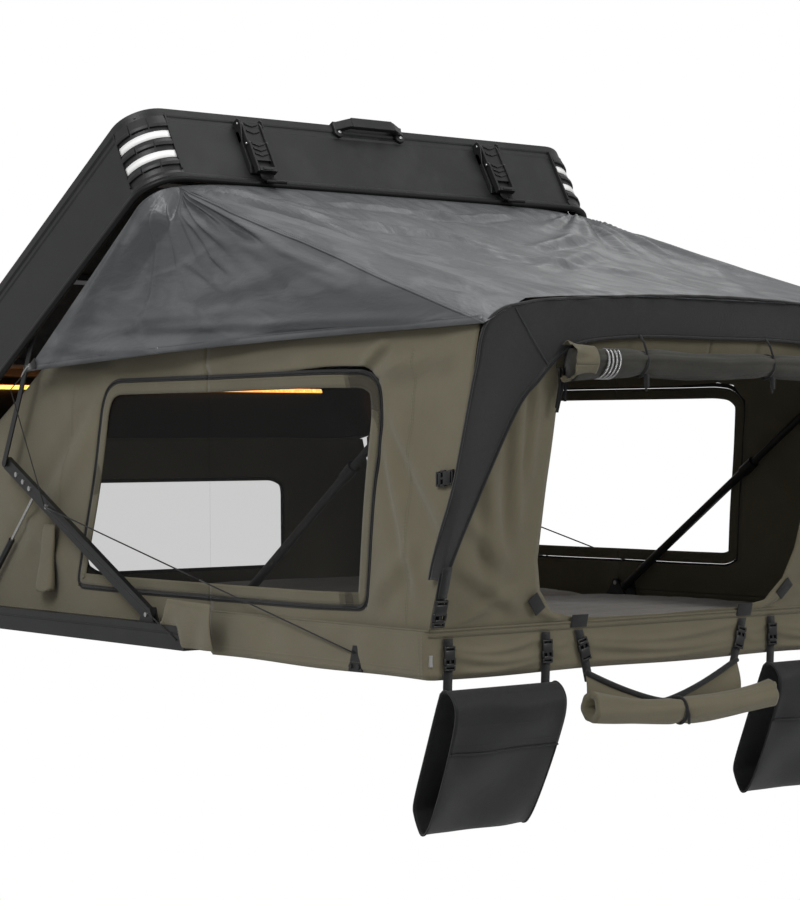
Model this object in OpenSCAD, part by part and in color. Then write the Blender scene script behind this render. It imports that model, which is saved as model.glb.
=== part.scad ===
/* [Tray] */
// Length of the tray along the tent
tray_l = 1200; // [1000:1:1400]
// Width of the tray and of the lid's rim
tray_w = 1484; // [1300:1:1600]
// Height of the tray frame
tray_h = 60; // [45:1:80]
// Width of a frame rail
rail_t = 30; // [20:1:40]
// Outer radius of the tray's and lid's corners
corner_r = 100; // [60:1:140]
// Height of the floor's underside
floor_z = 20; // [16:1:30]
// Thickness of the floor board and of the bed panel
board_t = 25; // [18:1:30]

/* [Rack rails] */
// Bolt spacing along the tent
bolt_dx = 800; // [600:10:900]
// Bolt spacing across the tent
bolt_dy = 800; // [600:10:1000]
// Radius of a bolt hole
bolt_r = 4.5; // [4:0.1:6]
// Width of a rack rail
rack_w = 60; // [40:1:80]
// Length of a rack rail
rack_l = 920; // [900:10:1100]
// Wall of a rack rail
rack_t = 5; // [3:0.5:6]

/* [Lift linkage] */
// Distance of the lift arms' pivot from the tray's front
arm_back = 204; // [150:1:300]
// Height of the pivot
arm_z = 78; // [70:1:90]
// Length of an arm between pivots
arm_len = 842.11; // [800:0.01:900]
// Rise of the arm at rest
arm_rise = 26.824; // [20:0.001:35]
// Height of the arm's section
arm_w = 36; // [24:1:44]
// Thickness of the arm
arm_t = 14; // [10:1:18]
// Distance of the arm's inner face from the tray's side
arm_in = 34; // [30:1:36]
// Radius of the arm's pin
pin_r = 6; // [5:0.5:8]
// Running clearance of a pin
run_c = 0.05; // [0.01:0.01:0.1]
// Length of the link between pivots
link_len = 399.085; // [350:0.001:450]
// Rise of the link at rest
link_rise = 62.874; // [50:0.001:75]
// Width of the link
link_w = 20; // [16:1:30]
// Thickness of the link
link_t = 4; // [3:0.5:5]
// Side gap between moving bars
side_gap = 0.4; // [0.3:0.1:1]
// Height of a bolt head on the arm
head_t = 3.4; // [2:0.1:4]
// Distance of the gas strut's eye along the arm
strut_d = 690; // [600:1:740]
// Distance of the gas strut's lower pivot from the tray's back
strut_back = 52; // [40:1:100]
// Height of the lower pivot
strut_z = 80; // [70:1:100]
// Distance of the strut from the arm's inner face
strut_in = 11; // [8:1:14]
// Radius of the strut's cylinder
cyl_r = 9; // [7:0.5:10]
// Length of the strut's cylinder
cyl_len = 240; // [200:1:280]
// Radius of the strut's rod
rod_r = 4; // [3:0.5:6]

/* [Lid] */
// Reach of the lid past the tray's front
lid_over = 88; // [40:1:120]
// Height of the lid
lid_h = 226; // [150:1:250]
// Tilt of the raised lid
lid_tilt = 30.08; // [20:0.01:40]
// Depth of the wall profile
wall_d = 9; // [7:0.5:12]
// Thickness of the roof panel
roof_t = 12; // [8:1:16]
// Height of the rim seal
seal_h = 8; // [5:1:12]
// Distance of a latch from the middle
latch_y = 395; // [300:1:450]
// Width of a latch
latch_w = 74; // [50:1:90]
// Half the distance between the handle's feet
handle_y = 112; // [80:1:140]

/* [Bed] */
// Distance of the fold axis from the tray's front
fold_gap = 20; // [10:1:40]
// Height of the fold axis
fold_z = 112; // [105:1:120]
// Length of the bed panel
panel_l = 877; // [800:1:1000]
// Distance of the bed panel's side from the tray's side
panel_in = 62; // [60:1:100]
// Thickness of the mattress at its edge
mat_t = 47; // [35:1:50]
// Distance of the mattress from the bed panel's side
mat_in = 50; // [49:1:90]
// Gap between a mattress half and the fold axis
mat_gap = 20; // [15:1:40]

/* [Bow] */
// Distance of the bow's pivot from the fold axis
bow_off = 70; // [60:1:100]
// Rise of the bow's legs at rest
bow_rise = 34.8; // [28:0.1:40]
// Distance of a leg from the bed panel's side
bow_in = 35; // [30:1:60]
// Length from the pivot to the bow's corner
bow_len = 1119; // [1000:1:1250]
// Radius of the lower tube
bow_r = 11; // [9:0.5:13]
// Radius of the upper tube
top_r = 9; // [7:0.5:11]
// Length of the lower tube
low_len = 594; // [500:1:700]
// Bend radius of the bow's corner
bend_r = 80; // [50:1:120]

/* [Fabric] */
// Thickness of the canvas
cloth_t = 3; // [2:0.5:4]
// Lean of the end wall
end_lean = 15; // [5:0.5:18]
// Height of the skirt's seam
seam_z = 97; // [90:1:110]
// Depth of the skirt below the tray's underside
skirt_drop = 8; // [0:1:30]
// Height of the end wall along its slope
end_h = 718; // [600:1:730]

/* [Hidden] */
$fn = 48;

half_l = tray_l / 2;
half_w = tray_w / 2;
rail_in = half_w - rail_t;
floor_top = floor_z + board_t;
arm_x = half_l - arm_back;
arm_y = half_w - arm_in;
strut_x = -half_l + strut_back;
strut_y = arm_y - strut_in;
lid_l = tray_l + lid_over;
fold_x = half_l + fold_gap;
panel_w = tray_w - 2 * panel_in;
mat_w = panel_w - 2 * mat_in;
bow_x = fold_x + bow_off;
bow_y = panel_w / 2 - bow_in;
corner_in = corner_r - rail_t;
wall_in = half_w - wall_d;
lid_front_x = lid_l - half_l;
roof_z = tray_h + lid_h - roof_t;
wall_z0 = tray_h + seal_h;
link_y = arm_y + arm_t + head_t + side_gap;
plate_y = link_y + link_t + 0.7;
panel_x0 = fold_x + 3;
panel_x1 = panel_x0 + panel_l;
panel_hw = panel_w / 2;
cloth_y = panel_hw;
cloth_out = cloth_y + cloth_t;
end_x = panel_x1 + cloth_t;
ear_t = 3;
ear_gap = 0.4;
leaf_y = bow_y + bow_r + 2.4;
bow_plate = 5;
bow_pin_r = 5;
eps = 0.01;

// Point of the closed lid, moved to the raised lid
function armp(d, y) = [arm_x - d * cos(arm_rise), y, arm_z + d * sin(arm_rise)];
link_top = armp(arm_len, 0) + link_len * [cos(link_rise), 0, sin(link_rise)];
pivot_x = arm_x - arm_len + link_len;
function lidp(x, y, z) = [
  link_top[0] + (x - pivot_x) * cos(lid_tilt) - (z - arm_z) * sin(lid_tilt),
  y,
  link_top[2] + (x - pivot_x) * sin(lid_tilt) + (z - arm_z) * cos(lid_tilt)];
lid_rim = lidp(lid_front_x, 0, tray_h);
// Height of the raised lid's rim at a place along the tent
function rim_z(x) = lid_rim[2] + (x - lid_rim[0]) * tan(lid_tilt);

module on_lid() {
  translate(link_top)
    rotate([0, -lid_tilt, 0])
      translate([-pivot_x, 0, -arm_z])
        children();
}
module on_arm() {
  translate([arm_x, 0, arm_z])
    rotate([0, 180 + arm_rise, 0])
      children();
}
module on_bow() {
  translate([bow_x, 0, fold_z])
    rotate([0, -bow_rise, 0])
      children();
}
module on_end() {
  translate([end_x, 0, seam_z])
    rotate([0, end_lean, 0])
      rotate([90, 0, 90])
        children();
}
module twins() {
  children();
  mirror([0, 1, 0]) children();
}
module ypin(x, z, y0, y1, r) {
  translate([x, y0, z])
    rotate([-90, 0, 0])
      cylinder(h = y1 - y0, r = r);
}
// Plate in the XZ plane from y0 to y1
module xz_plate(pts, y0, y1) {
  translate([0, y1, 0])
    rotate([90, 0, 0])
      linear_extrude(height = y1 - y0)
        polygon(pts);
}
module rrect(x0, y0, x1, y1, r) {
  translate([x0 + r, y0]) square([x1 - x0 - 2 * r, y1 - y0]);
  translate([x0, y0 + r]) square([x1 - x0, y1 - y0 - 2 * r]);
  for (x = [x0 + r, x1 - r], y = [y0 + r, y1 - r]) translate([x, y]) circle(r = r);
}
module rod(a, b, r) {
  d = b - a;
  translate(a)
    rotate([0, acos(d[2] / norm(d)), atan2(d[1], d[0])])
      cylinder(h = norm(d), r = r, $fn = 16);
}
// Sheet through the points p, made thick along v; p runs counter-clockwise seen from the end of v
module slab(p, v) {
  n = len(p);
  polyhedron(
    points = concat(p, [for (q = p) q + v]),
    faces = concat(
      [for (i = [1:n - 2]) [0, i, i + 1]],
      [for (i = [1:n - 2]) [n, n + i + 1, n + i]],
      [for (i = [0:n - 1]) [i, i + n, (i + 1) % n + n, (i + 1) % n]]));
}

// Tray and rack rails
module tray_outline(inset) {
  difference() {
    rrect(-half_l + inset, -half_w + inset, half_l + corner_r, half_w - inset, corner_r - inset);
    translate([half_l, -tray_w]) square([2 * corner_r, 2 * tray_w]);
  }
}
module tray_frame() {
  color("dimgray") difference() {
    union() {
      linear_extrude(height = tray_h) difference() {
        tray_outline(0);
        tray_outline(rail_t);
      }
      linear_extrude(height = floor_z) difference() {
        tray_outline(1);
        translate([-half_l + rail_t + 20, -rail_in + 20])
          square([tray_l - 2 * rail_t - 40, 2 * rail_in - 40]);
      }
    }
    for (s = [-1, 1])
      translate([-half_l + corner_r, s * half_w - 2, 38])
        cube([tray_l - corner_r + 1, 4, 6]);
  }
}
module tray_floor() {
  color("gray") translate([0, 0, floor_z])
    linear_extrude(height = board_t)
      tray_outline(rail_t + 0.2);
}
module rack_rails() {
  color("silver") for (s = [-1, 1])
    translate([-rack_l / 2, s * bolt_dy / 2 - rack_w / 2, 0])
      difference() {
        cube([rack_l, rack_w, floor_z]);
        translate([-1, rack_t, rack_t]) cube([rack_l + 2, rack_w - 2 * rack_t, floor_z]);
        for (x = [-1, 1])
          translate([rack_l / 2 + x * bolt_dx / 2, rack_w / 2, -1])
            cylinder(h = rack_t + 2, r = bolt_r);
      }
}

// Lift linkage
module arm_brackets() {
  color("black") twins() {
    difference() {
      union() {
        xz_plate([[arm_x - 34, floor_top], [arm_x + 34, floor_top], [arm_x + 16, arm_z + 18],
          [arm_x - 16, arm_z + 18]], arm_y - ear_gap - ear_t, arm_y - ear_gap);
        xz_plate([[arm_x - 34, tray_h], [arm_x + 34, tray_h], [arm_x + 16, arm_z + 18],
          [arm_x - 16, arm_z + 18]], arm_y + arm_t + ear_gap, arm_y + arm_t + ear_gap + ear_t);
      }
      ypin(arm_x, arm_z, arm_y - 10, half_w, pin_r + run_c);
    }
  }
}
module arm_pins() {
  color("silver") twins()
    ypin(arm_x, arm_z, arm_y - ear_gap - ear_t - 1, arm_y + arm_t + ear_gap + ear_t + 3, pin_r);
}
module arm_bar() {
  color("black") on_arm() difference() {
    union() {
      translate([0, arm_y, -arm_w / 2]) cube([arm_len, arm_t, arm_w]);
      ypin(0, 0, arm_y, arm_y + arm_t, arm_w / 2);
      ypin(arm_len, 0, arm_y, arm_y + arm_t, arm_w / 2);
    }
    ypin(0, 0, arm_y - 1, arm_y + arm_t + 1, pin_r + run_c);
    ypin(arm_len, 0, arm_y - 1, arm_y + arm_t + 1, pin_r + run_c);
    translate([40, arm_y - 1, -arm_w / 2 + 5]) cube([arm_len - 80, arm_t - 3, arm_w - 10]);
  }
}
module lift_arm_far() {
  arm_bar();
}
module lift_arm_near() {
  mirror([0, 1, 0]) arm_bar();
}
module arm_bolts() {
  color("silver") twins() for (d = [584, strut_d, strut_d + 40, strut_d + 84])
    translate(armp(d, arm_y + arm_t))
      rotate([-90, 0, 0])
        cylinder(h = head_t, r = 7);
}
module lid_links() {
  b = armp(arm_len, 0);
  color("black") twins() translate([b[0], 0, b[2]]) rotate([0, -link_rise, 0]) difference() {
    union() {
      translate([0, link_y, -link_w / 2]) cube([link_len, link_t, link_w]);
      ypin(0, 0, link_y, link_y + link_t, link_w / 2);
      ypin(link_len, 0, link_y, link_y + link_t, link_w / 2);
      ypin(0, 0, arm_y - 1, link_y + eps, pin_r);
    }
    ypin(link_len, 0, link_y - 1, link_y + link_t + 1, pin_r + run_c);
  }
}
module strut_brackets() {
  color("dimgray") twins() {
    xz_plate([[strut_x - 18, tray_h], [strut_x + 40, tray_h], [strut_x + 14, strut_z + 16],
      [strut_x - 14, strut_z + 16]], strut_y + 10.4, strut_y + 14.4);
    ypin(strut_x, strut_z, strut_y - 8.5, strut_y + 11, bow_pin_r);
  }
}
strut_a = atan2(armp(strut_d, 0)[2] - strut_z, armp(strut_d, 0)[0] - strut_x);
strut_len = norm([armp(strut_d, 0)[0] - strut_x, armp(strut_d, 0)[2] - strut_z]);
module on_strut() {
  translate([strut_x, strut_y, strut_z])
    rotate([0, -strut_a, 0])
      children();
}
module strut_cylinders() {
  color("black") twins() on_strut() difference() {
    union() {
      ypin(0, 0, -7, 10, 10);
      rotate([0, 90, 0]) cylinder(h = cyl_len, r = cyl_r);
    }
    ypin(0, 0, -cyl_r - 1, 11, bow_pin_r + run_c);
    translate([28, 0, 0]) rotate([0, 90, 0]) cylinder(h = cyl_len, r = rod_r + 0.3);
  }
}
module strut_rods() {
  color("silver") twins() on_strut() union() {
    translate([cyl_len - 14, 0, 0]) rotate([0, 90, 0]) cylinder(h = strut_len - cyl_len + 14, r = rod_r);
    ypin(strut_len, 0, -rod_r, arm_y - ear_gap - strut_y, 9);
  }
}

// Lid, drawn closed and then raised
module wall_profile() {
  polygon([[0, wall_z0], [9, wall_z0], [9, wall_z0 + 16], [5, wall_z0 + 22], [5, roof_z - 30],
    [7, roof_z - 24], [7, roof_z - 18], [5, roof_z - 16], [5, roof_z - 12], [7, roof_z - 10],
    [9, roof_z - 7], [9, roof_z], [0, roof_z]]);
}
module lid_wall(len) {
  translate([-len / 2, 0, 0])
    rotate([90, 0, 90])
      linear_extrude(height = len)
        wall_profile();
}
lid_mid = (lid_front_x - half_l) / 2;
side_len = lid_l - 2 * corner_r;
cross_len = tray_w - 2 * corner_r;
module lid_outline(inset) {
  rrect(-half_l + inset, -half_w + inset, lid_front_x - inset, half_w - inset, corner_r - inset);
}
module lid_roof() {
  color("dimgray") on_lid() translate([0, 0, roof_z])
    linear_extrude(height = roof_t) lid_outline(0);
}
module lid_side_far() {
  color("dimgray") on_lid() translate([lid_mid, wall_in, 0]) lid_wall(side_len);
}
module lid_side_near() {
  color("dimgray") on_lid() mirror([0, 1, 0]) translate([lid_mid, wall_in, 0]) lid_wall(side_len);
}
module lid_front() {
  color("dimgray") on_lid() translate([lid_front_x - wall_d, 0, 0]) rotate([0, 0, -90]) lid_wall(cross_len);
}
module lid_back() {
  color("dimgray") on_lid() translate([-half_l + wall_d, 0, 0]) rotate([0, 0, 90]) lid_wall(cross_len);
}
module at_corners() {
  for (x = [0, 1], y = [0, 1])
    translate([x == 1 ? lid_front_x - corner_r : -half_l + corner_r,
      y == 1 ? half_w - corner_r : -half_w + corner_r, 0])
      rotate([0, 0, x == 1 ? (y == 1 ? 0 : 270) : (y == 1 ? 90 : 180)])
        children();
}
row_h = 44;
row_z = [wall_z0 + 16, wall_z0 + 72, wall_z0 + 128];
module lid_corners() {
  color("black") on_lid() at_corners() {
    rotate_extrude(angle = 90)
      translate([corner_r - wall_d, wall_z0]) square([wall_d, roof_z - wall_z0]);
    for (z = row_z, a = [2, 32, 62])
      rotate([0, 0, a]) rotate_extrude(angle = 26)
        polygon([[corner_r - 1, z], [corner_r + 1.5, z], [corner_r + 4, z + 5], [corner_r + 4, z + row_h - 5],
          [corner_r + 1.5, z + row_h], [corner_r - 1, z + row_h]]);
  }
}
module reflectors() {
  color("white") on_lid() at_corners()
    for (z = [row_z[0] + row_h + 2, row_z[1] + row_h + 2])
      rotate_extrude(angle = 90)
        translate([corner_r + 0.3, z]) square([0.8, 8]);
}
module lid_seal() {
  color("black") on_lid() translate([0, 0, tray_h])
    linear_extrude(height = seal_h) difference() {
      lid_outline(0);
      lid_outline(wall_d);
    }
}
module lid_pivots() {
  color("dimgray") on_lid() twins() {
    xz_plate([[pivot_x - 30, wall_z0 + 1], [pivot_x + 30, wall_z0 + 1], [pivot_x + 22, wall_z0 + 70],
      [pivot_x - 22, wall_z0 + 70]], plate_y, wall_in);
    ypin(pivot_x, arm_z, link_y - 0.6, wall_in - 1, pin_r);
  }
}
liner_t = 6;
module ceiling_liner() {
  color("black") on_lid() translate([0, 0, roof_z - liner_t])
    linear_extrude(height = liner_t) lid_outline(wall_d + 1);
}
bar_s = 20;
bar_x = [-half_l + corner_r + 12, -half_l + 0.43 * lid_l, lid_front_x - 268];
module lid_bars() {
  color("gray") on_lid() for (x = bar_x)
    translate([x - bar_s / 2, -wall_in + 0.2, roof_z - liner_t - bar_s])
      cube([bar_s, 2 * wall_in - 0.4, bar_s]);
}
module light_strip() {
  color("orange") on_lid()
    translate([-half_l + wall_d, -cross_len / 2 + 30, roof_z - liner_t - 34]) cube([4, cross_len - 60, 12]);
}
face_x = lid_front_x - wall_d + 5;
lever_z = roof_z - 26;
module at_latches() {
  for (s = [-1, 1]) translate([0, s * latch_y, 0]) children();
}
module latch_bases() {
  color("black") on_lid() at_latches() {
    translate([face_x, -latch_w / 2, wall_z0 + 24]) cube([8, latch_w, roof_z - wall_z0 - 56]);
    for (s = [-1, 1])
      translate([face_x + 7, s * (latch_w / 2 - 2) - 2, lever_z - 14]) cube([13, 4, 22]);
    ypin(face_x + 14, lever_z, -latch_w / 2 + 1, latch_w / 2 - 1, 3);
  }
}
module latch_levers() {
  color("black") on_lid() at_latches() {
    difference() {
      union() {
        translate([face_x + 8.4, -31, wall_z0 + 36]) cube([8, 62, lever_z - wall_z0 - 36]);
        ypin(face_x + 14, lever_z, -31, 31, 5.5);
        for (i = [0:6])
          translate([face_x + 16, 0, wall_z0 + 40 + i * 14]) rotate([90, 0, 90]) linear_extrude(height = 4)
            polygon([[-26, 8], [0, 0], [26, 8], [26, 14], [0, 6], [-26, 14]]);
      }
      ypin(face_x + 14, lever_z, -40, 40, 3 + run_c);
    }
  }
}
module latch_straps() {
  color("black") on_lid() at_latches() {
    translate([face_x + 10, -20, tray_h + 14]) cube([5, 40, wall_z0 + 36 - tray_h - 14]);
    translate([face_x + 10, 0, tray_h + 14]) rotate([0, -45, 0]) {
      translate([0, -20, -36]) cube([5, 40, 36]);
      ypin(2.5, -38, -30, 30, 4);
    }
  }
}
grip_z = roof_z + roof_t + 28;
module handle() {
  color("black") on_lid() for (s = [-1, 1])
    translate([lid_front_x - 46, s * handle_y - 18, roof_z + roof_t]) cube([34, 36, 8]);
  color("black") on_lid() translate([lid_front_x - 37, 0, 0])
    rotate([90, 0, 90])
      linear_extrude(height = 16)
        polygon([[-handle_y - 10, grip_z - 20], [-handle_y + 10, grip_z - 20], [-70, grip_z],
          [70, grip_z], [handle_y - 10, grip_z - 20], [handle_y + 10, grip_z - 20],
          [80, grip_z + 12], [-80, grip_z + 12]]);
}

// Bed
module bed_panel() {
  color("gray") translate([panel_x0, -panel_hw, floor_z]) cube([panel_l, panel_w, board_t]);
}
// Quilted cushion: crown, drawn-in sides and channels both ways
module cushion(x0, x1, w, z0, t, nx, ny) {
  dx = (x1 - x0) / nx;
  dy = w / ny;
  function puff(i, j) = (i == 0 || i == nx || j == 0 || j == ny) ? 0.62 * t :
    t * (1 + 0.06 * sin(180 * i / nx) * sin(180 * j / ny)) - ((i % 2 == 0 || j % 2 == 0) ? 6 : 0);
  top = [for (i = [0:nx], j = [0:ny]) [x0 + i * dx, -w / 2 + j * dy, z0 + puff(i, j)]];
  function k(i, j) = i * (ny + 1) + j;
  ring = concat([for (j = [0:ny - 1]) k(0, j)], [for (i = [0:nx - 1]) k(i, ny)],
    [for (j = [0:ny - 1]) k(nx, ny - j)], [for (i = [0:nx - 1]) k(nx - i, 0)]);
  m = len(ring);
  c = [(x0 + x1) / 2, 0, z0];
  low = [for (r = ring) [c[0] + (top[r][0] - c[0]) * 0.985, top[r][1] * 0.988, z0]];
  n = len(top);
  polyhedron(
    points = concat(top, low, [c]),
    faces = concat(
      [for (i = [0:nx - 1], j = [0:ny - 1]) [k(i, j), k(i, j + 1), k(i + 1, j + 1)]],
      [for (i = [0:nx - 1], j = [0:ny - 1]) [k(i, j), k(i + 1, j + 1), k(i + 1, j)]],
      [for (i = [0:m - 1]) [ring[i], n + i, n + (i + 1) % m]],
      [for (i = [0:m - 1]) [ring[i], n + (i + 1) % m, ring[(i + 1) % m]]],
      [for (i = [0:m - 1]) [n + m, n + (i + 1) % m, n + i]]));
}
module mattress_rear() {
  color("rosybrown")
    cushion(-half_l + rail_t + 12, fold_x - mat_gap, mat_w, floor_top, mat_t, 14, 16);
}
module mattress_front() {
  color("rosybrown")
    cushion(fold_x + mat_gap, panel_x1 - 12, mat_w, floor_top, mat_t, 10, 16);
}
leaf_t = 4;
leaf_in = leaf_y + bow_plate + 1.6;
base_leaf_y = leaf_in + leaf_t + 0.6;
module leaf(y, x0, x1) {
  difference() {
    union() {
      xz_plate([[x0, floor_top], [x1, floor_top], [fold_x + 9, fold_z + 8], [fold_x - 9, fold_z + 8]],
        y, y + leaf_t);
      ypin(fold_x, fold_z, y, y + leaf_t, 12);
    }
    ypin(fold_x, fold_z, y - 1, y + leaf_t + 1, pin_r + run_c);
  }
}
module fold_leaves_base() {
  color("dimgray") twins() leaf(base_leaf_y, fold_x - 70, fold_x - 20.5);
}
module fold_leaves_panel() {
  color("dimgray") twins() leaf(leaf_in, fold_x + 4, fold_x + 66);
}
module fold_pins() {
  color("silver") twins() ypin(fold_x, fold_z, leaf_in - 1, base_leaf_y + leaf_t + 1, pin_r);
}
plate_x = panel_x1 - 265;
module cable_plates() {
  color("black") twins() {
    xz_plate([[plate_x - 26, -skirt_drop], [plate_x + 26, -skirt_drop], [plate_x + 8, floor_top + 6],
      [plate_x - 8, floor_top + 6]], cloth_out, cloth_out + 4);
    for (x = [-14, 14])
      translate([plate_x + x, cloth_out + 4, 4]) rotate([-90, 0, 0]) cylinder(h = 4, r = 6, $fn = 6);
  }
}
fly_rear = [lid_rim[0] - 664.5, rim_z(lid_rim[0] - 664.5) - 74];
hook_p = [fly_rear[0] - 82, half_w + 6, fly_rear[1] - 46];
cord_m = [fold_x - 140, half_w + 3.5, tray_h + 6];
module stay_cables() {
  a = armp(584, arm_y + arm_t + head_t + 2.8);
  color("black") twins() {
    rod(a, [plate_x, cloth_out + 6.2, 34], 2);
    rod(a, hook_p, 1.5);
    rod(hook_p, [fly_rear[0] - 3, half_w + 5.3, fly_rear[1] - 6], 1.5);
    rod(a, cord_m, 1.5);
    rod(cord_m, [fold_x - 50, half_w + 1.8, 24], 1.5);
    translate(a) sphere(r = 2.6, $fn = 16);
    for (q = [hook_p, cord_m]) translate(q) sphere(r = 1.9, $fn = 16);
  }
}

// Bow
module bow_brackets() {
  color("dimgray") twins() {
    xz_plate([[bow_x - 26, floor_top], [bow_x + 26, floor_top], [bow_x + 12, fold_z + 12],
      [bow_x - 12, fold_z + 12]], leaf_y, leaf_y + bow_plate);
    ypin(bow_x, fold_z, bow_y - bow_r - 1, leaf_y + 1, bow_pin_r);
  }
}
module bow_legs() {
  color("black") twins() on_bow() difference() {
    translate([-14, bow_y, 0]) rotate([0, 90, 0]) cylinder(h = low_len + 14, r = bow_r);
    ypin(0, 0, bow_y - bow_r - 1, bow_y + bow_r + 1, bow_pin_r + run_c);
    translate([40, bow_y, 0]) rotate([0, 90, 0]) cylinder(h = low_len, r = top_r + 0.3);
  }
}
module bow_collars() {
  color("black") twins() on_bow()
    translate([low_len - 46, bow_y, 0]) rotate([0, 90, 0]) difference() {
      cylinder(h = 46, r = bow_r + 4);
      translate([0, 0, -1]) cylinder(h = 48, r = bow_r + 0.1);
    }
}
module bow_top() {
  color("black") on_bow() union() {
    twins() {
      translate([low_len - 30, bow_y, 0]) rotate([0, 90, 0])
        cylinder(h = bow_len - low_len + 30, r = top_r);
      translate([bow_len, bow_y - bend_r, 0]) rotate_extrude(angle = 90)
        translate([bend_r, 0]) circle(r = top_r, $fn = 24);
    }
    ypin(bow_len + bend_r, 0, -bow_y + bend_r, bow_y - bend_r, top_r);
  }
}

// Canvas
win_z = [130, 172];
fold_rear = fold_x - mat_gap;
fold_front = fold_x + mat_gap;
near_win_rear = [[fold_rear - 634, win_z[0]], [fold_rear, win_z[0]], [fold_rear, 668], [fold_rear - 430, 672],
  [fold_rear - 488, 630]];
near_win_front = [[fold_front, win_z[0]], [end_x - 237, win_z[0] + 4], [end_x - 176, 560], [end_x - 193, 640],
  [end_x - 233, 664], [fold_front, 668]];
far_win_rear = [[fold_rear - 580, win_z[1]], [fold_rear, win_z[1]], [fold_rear, 662], [fold_rear - 410, 664],
  [fold_rear - 470, 620]];
far_win_front = [[fold_front, win_z[1]], [end_x - 443, win_z[1]], [end_x - 414, 206], [end_x - 379, 610],
  [end_x - 411, 650], [end_x - 443, 655], [fold_front, 660]];
back_x = -half_l + rail_t + 5;
rear_wall_pts = [[-half_l + corner_r + 4, floor_top], [fold_rear, floor_top], [fold_rear, rim_z(fold_rear) - 188],
  [lid_rim[0] - 1, lid_rim[2] - 66], [back_x, rim_z(back_x) - 31], [back_x, tray_h + 1],
  [-half_l + corner_r + 4, tray_h + 1]];
low_z = 750;
front_wall_pts = [[fold_front, seam_z], [end_x - 4, seam_z],
  [end_x - 4 + (low_z - 15 - seam_z) * tan(end_lean), low_z - 15], [fold_front + 510, low_z + 20],
  [fold_front + 360, low_z + 180], [fold_front, low_z + 290]];
module side_wall(pts, win) {
  difference() {
    xz_plate(pts, cloth_y, cloth_out);
    xz_plate(win, cloth_y - 1, cloth_out + 1);
  }
}
module wall_near_rear() {
  color("darkkhaki") mirror([0, 1, 0]) side_wall(rear_wall_pts, near_win_rear);
}
module wall_far_rear() {
  color("darkkhaki") side_wall(rear_wall_pts, far_win_rear);
}
module wall_near_front() {
  color("darkkhaki") mirror([0, 1, 0]) side_wall(front_wall_pts, near_win_front);
}
module wall_far_front() {
  color("darkkhaki") side_wall(front_wall_pts, far_win_front);
}
module mesh_near_rear() {
  color("black") mirror([0, 1, 0]) xz_plate(near_win_rear, cloth_y + 1, cloth_y + 2);
}
module mesh_near_front() {
  color("black") mirror([0, 1, 0]) xz_plate(near_win_front, cloth_y + 1, cloth_y + 2);
}
module wall_rear() {
  color("darkkhaki") translate([-half_l + rail_t + 1, 0, 0])
    rotate([90, 0, 90])
      linear_extrude(height = cloth_t) difference() {
        polygon([[-cloth_y, tray_h + 1], [-cloth_y + corner_in, tray_h + 1], [-cloth_y + corner_in, floor_top],
          [cloth_y - corner_in, floor_top], [cloth_y - corner_in, tray_h + 1], [cloth_y, tray_h + 1],
          [cloth_y, rim_z(back_x) - 36], [-cloth_y, rim_z(back_x) - 36]]);
        rrect(-cloth_y + 330, 125, cloth_y - 330, 402, 40);
      }
}
module wall_flaps() {
  color("darkkhaki") mirror([0, 1, 0]) translate([-half_l + 390, cloth_out, 112]) cube([80, 3, 180]);
  color("darkkhaki") twins()
    xz_plate([[fold_x - 115, 68], [fold_x - 98, 132], [fold_x + 100, 118], [fold_x + 108, 6], [fold_x - 30, 6],
      [fold_x - 38, 62]], half_w, half_w + 2.5);
}
door_hw = cloth_y - 260;
door_pts = [[door_hw - 160, 8], [door_hw - 85, 26], [door_hw - 35, 78], [door_hw - 12, 150], [door_hw, 330],
  [door_hw + 10, 540], [door_hw + 4, 590], [door_hw - 25, 612]];
// Points of the right half, then of the left half in the other order
function both(p) = concat(p, [for (i = [1:len(p)]) [-p[len(p) - i][0], p[len(p) - i][1]]]);
module end_wall() {
  color("darkkhaki") on_end()
    linear_extrude(height = cloth_t) difference() {
      polygon([[-cloth_out, 0], [cloth_out, 0], [cloth_y - 27, end_h - 78], [cloth_y - 84, end_h],
        [-cloth_y + 84, end_h], [-cloth_y + 27, end_h - 78]]);
      polygon(both(door_pts));
    }
}
roll_r = 26;
module door_roll() {
  color("darkolivegreen") on_end()
    translate([-door_hw - 10, 604, cloth_t + roll_r + 0.1]) rotate([0, 90, 0])
      cylinder(h = 2 * door_hw + 20, r = roll_r);
}
module skirt() {
  color("darkkhaki") translate([0, 0, -skirt_drop])
    linear_extrude(height = seam_z + skirt_drop) difference() {
      translate([panel_x0 + 3, -cloth_out]) square([end_x - panel_x0 - 3, 2 * cloth_out]);
      translate([0, -cloth_y]) square([panel_x1, 2 * cloth_y]);
    }
}
strap_t = 3;
strap_w = 25;
bag_y = cloth_y - 185;
bag_w = 316;
bag_t = 70;
bag_straps = [-142, 136];
bag_h = 345;
bag_top = -skirt_drop - 4;
bag_lean = 24;
pouch_y = 265;
module hang_straps() {
  color("black") for (y = [-bag_y + bag_straps[0], -bag_y + bag_straps[1], -pouch_y, pouch_y, bag_y - bag_straps[1],
    bag_y - bag_straps[0]])
    translate([end_x, y - strap_w / 2, bag_top]) {
      cube([strap_t, strap_w, 98]);
      translate([strap_t, -4, 36]) cube([8, strap_w + 8, 44]);
    }
}
module bag(y) {
  color("black") translate([end_x, y, bag_top])
    rotate([0, bag_lean, 0])
      rotate([90, 0, 90])
        linear_extrude(height = bag_t)
          polygon([[-bag_w / 2, -22], [bag_w / 2, -22], [bag_w / 2 - 14, -bag_h], [-bag_w / 2 + 14, -bag_h]]);
  color("black") for (s = bag_straps)
    translate([end_x, (y < 0 ? y + s : y - s) - strap_w / 2, bag_top - 24])
      cube([strap_t, strap_w, 24]);
}
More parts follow.
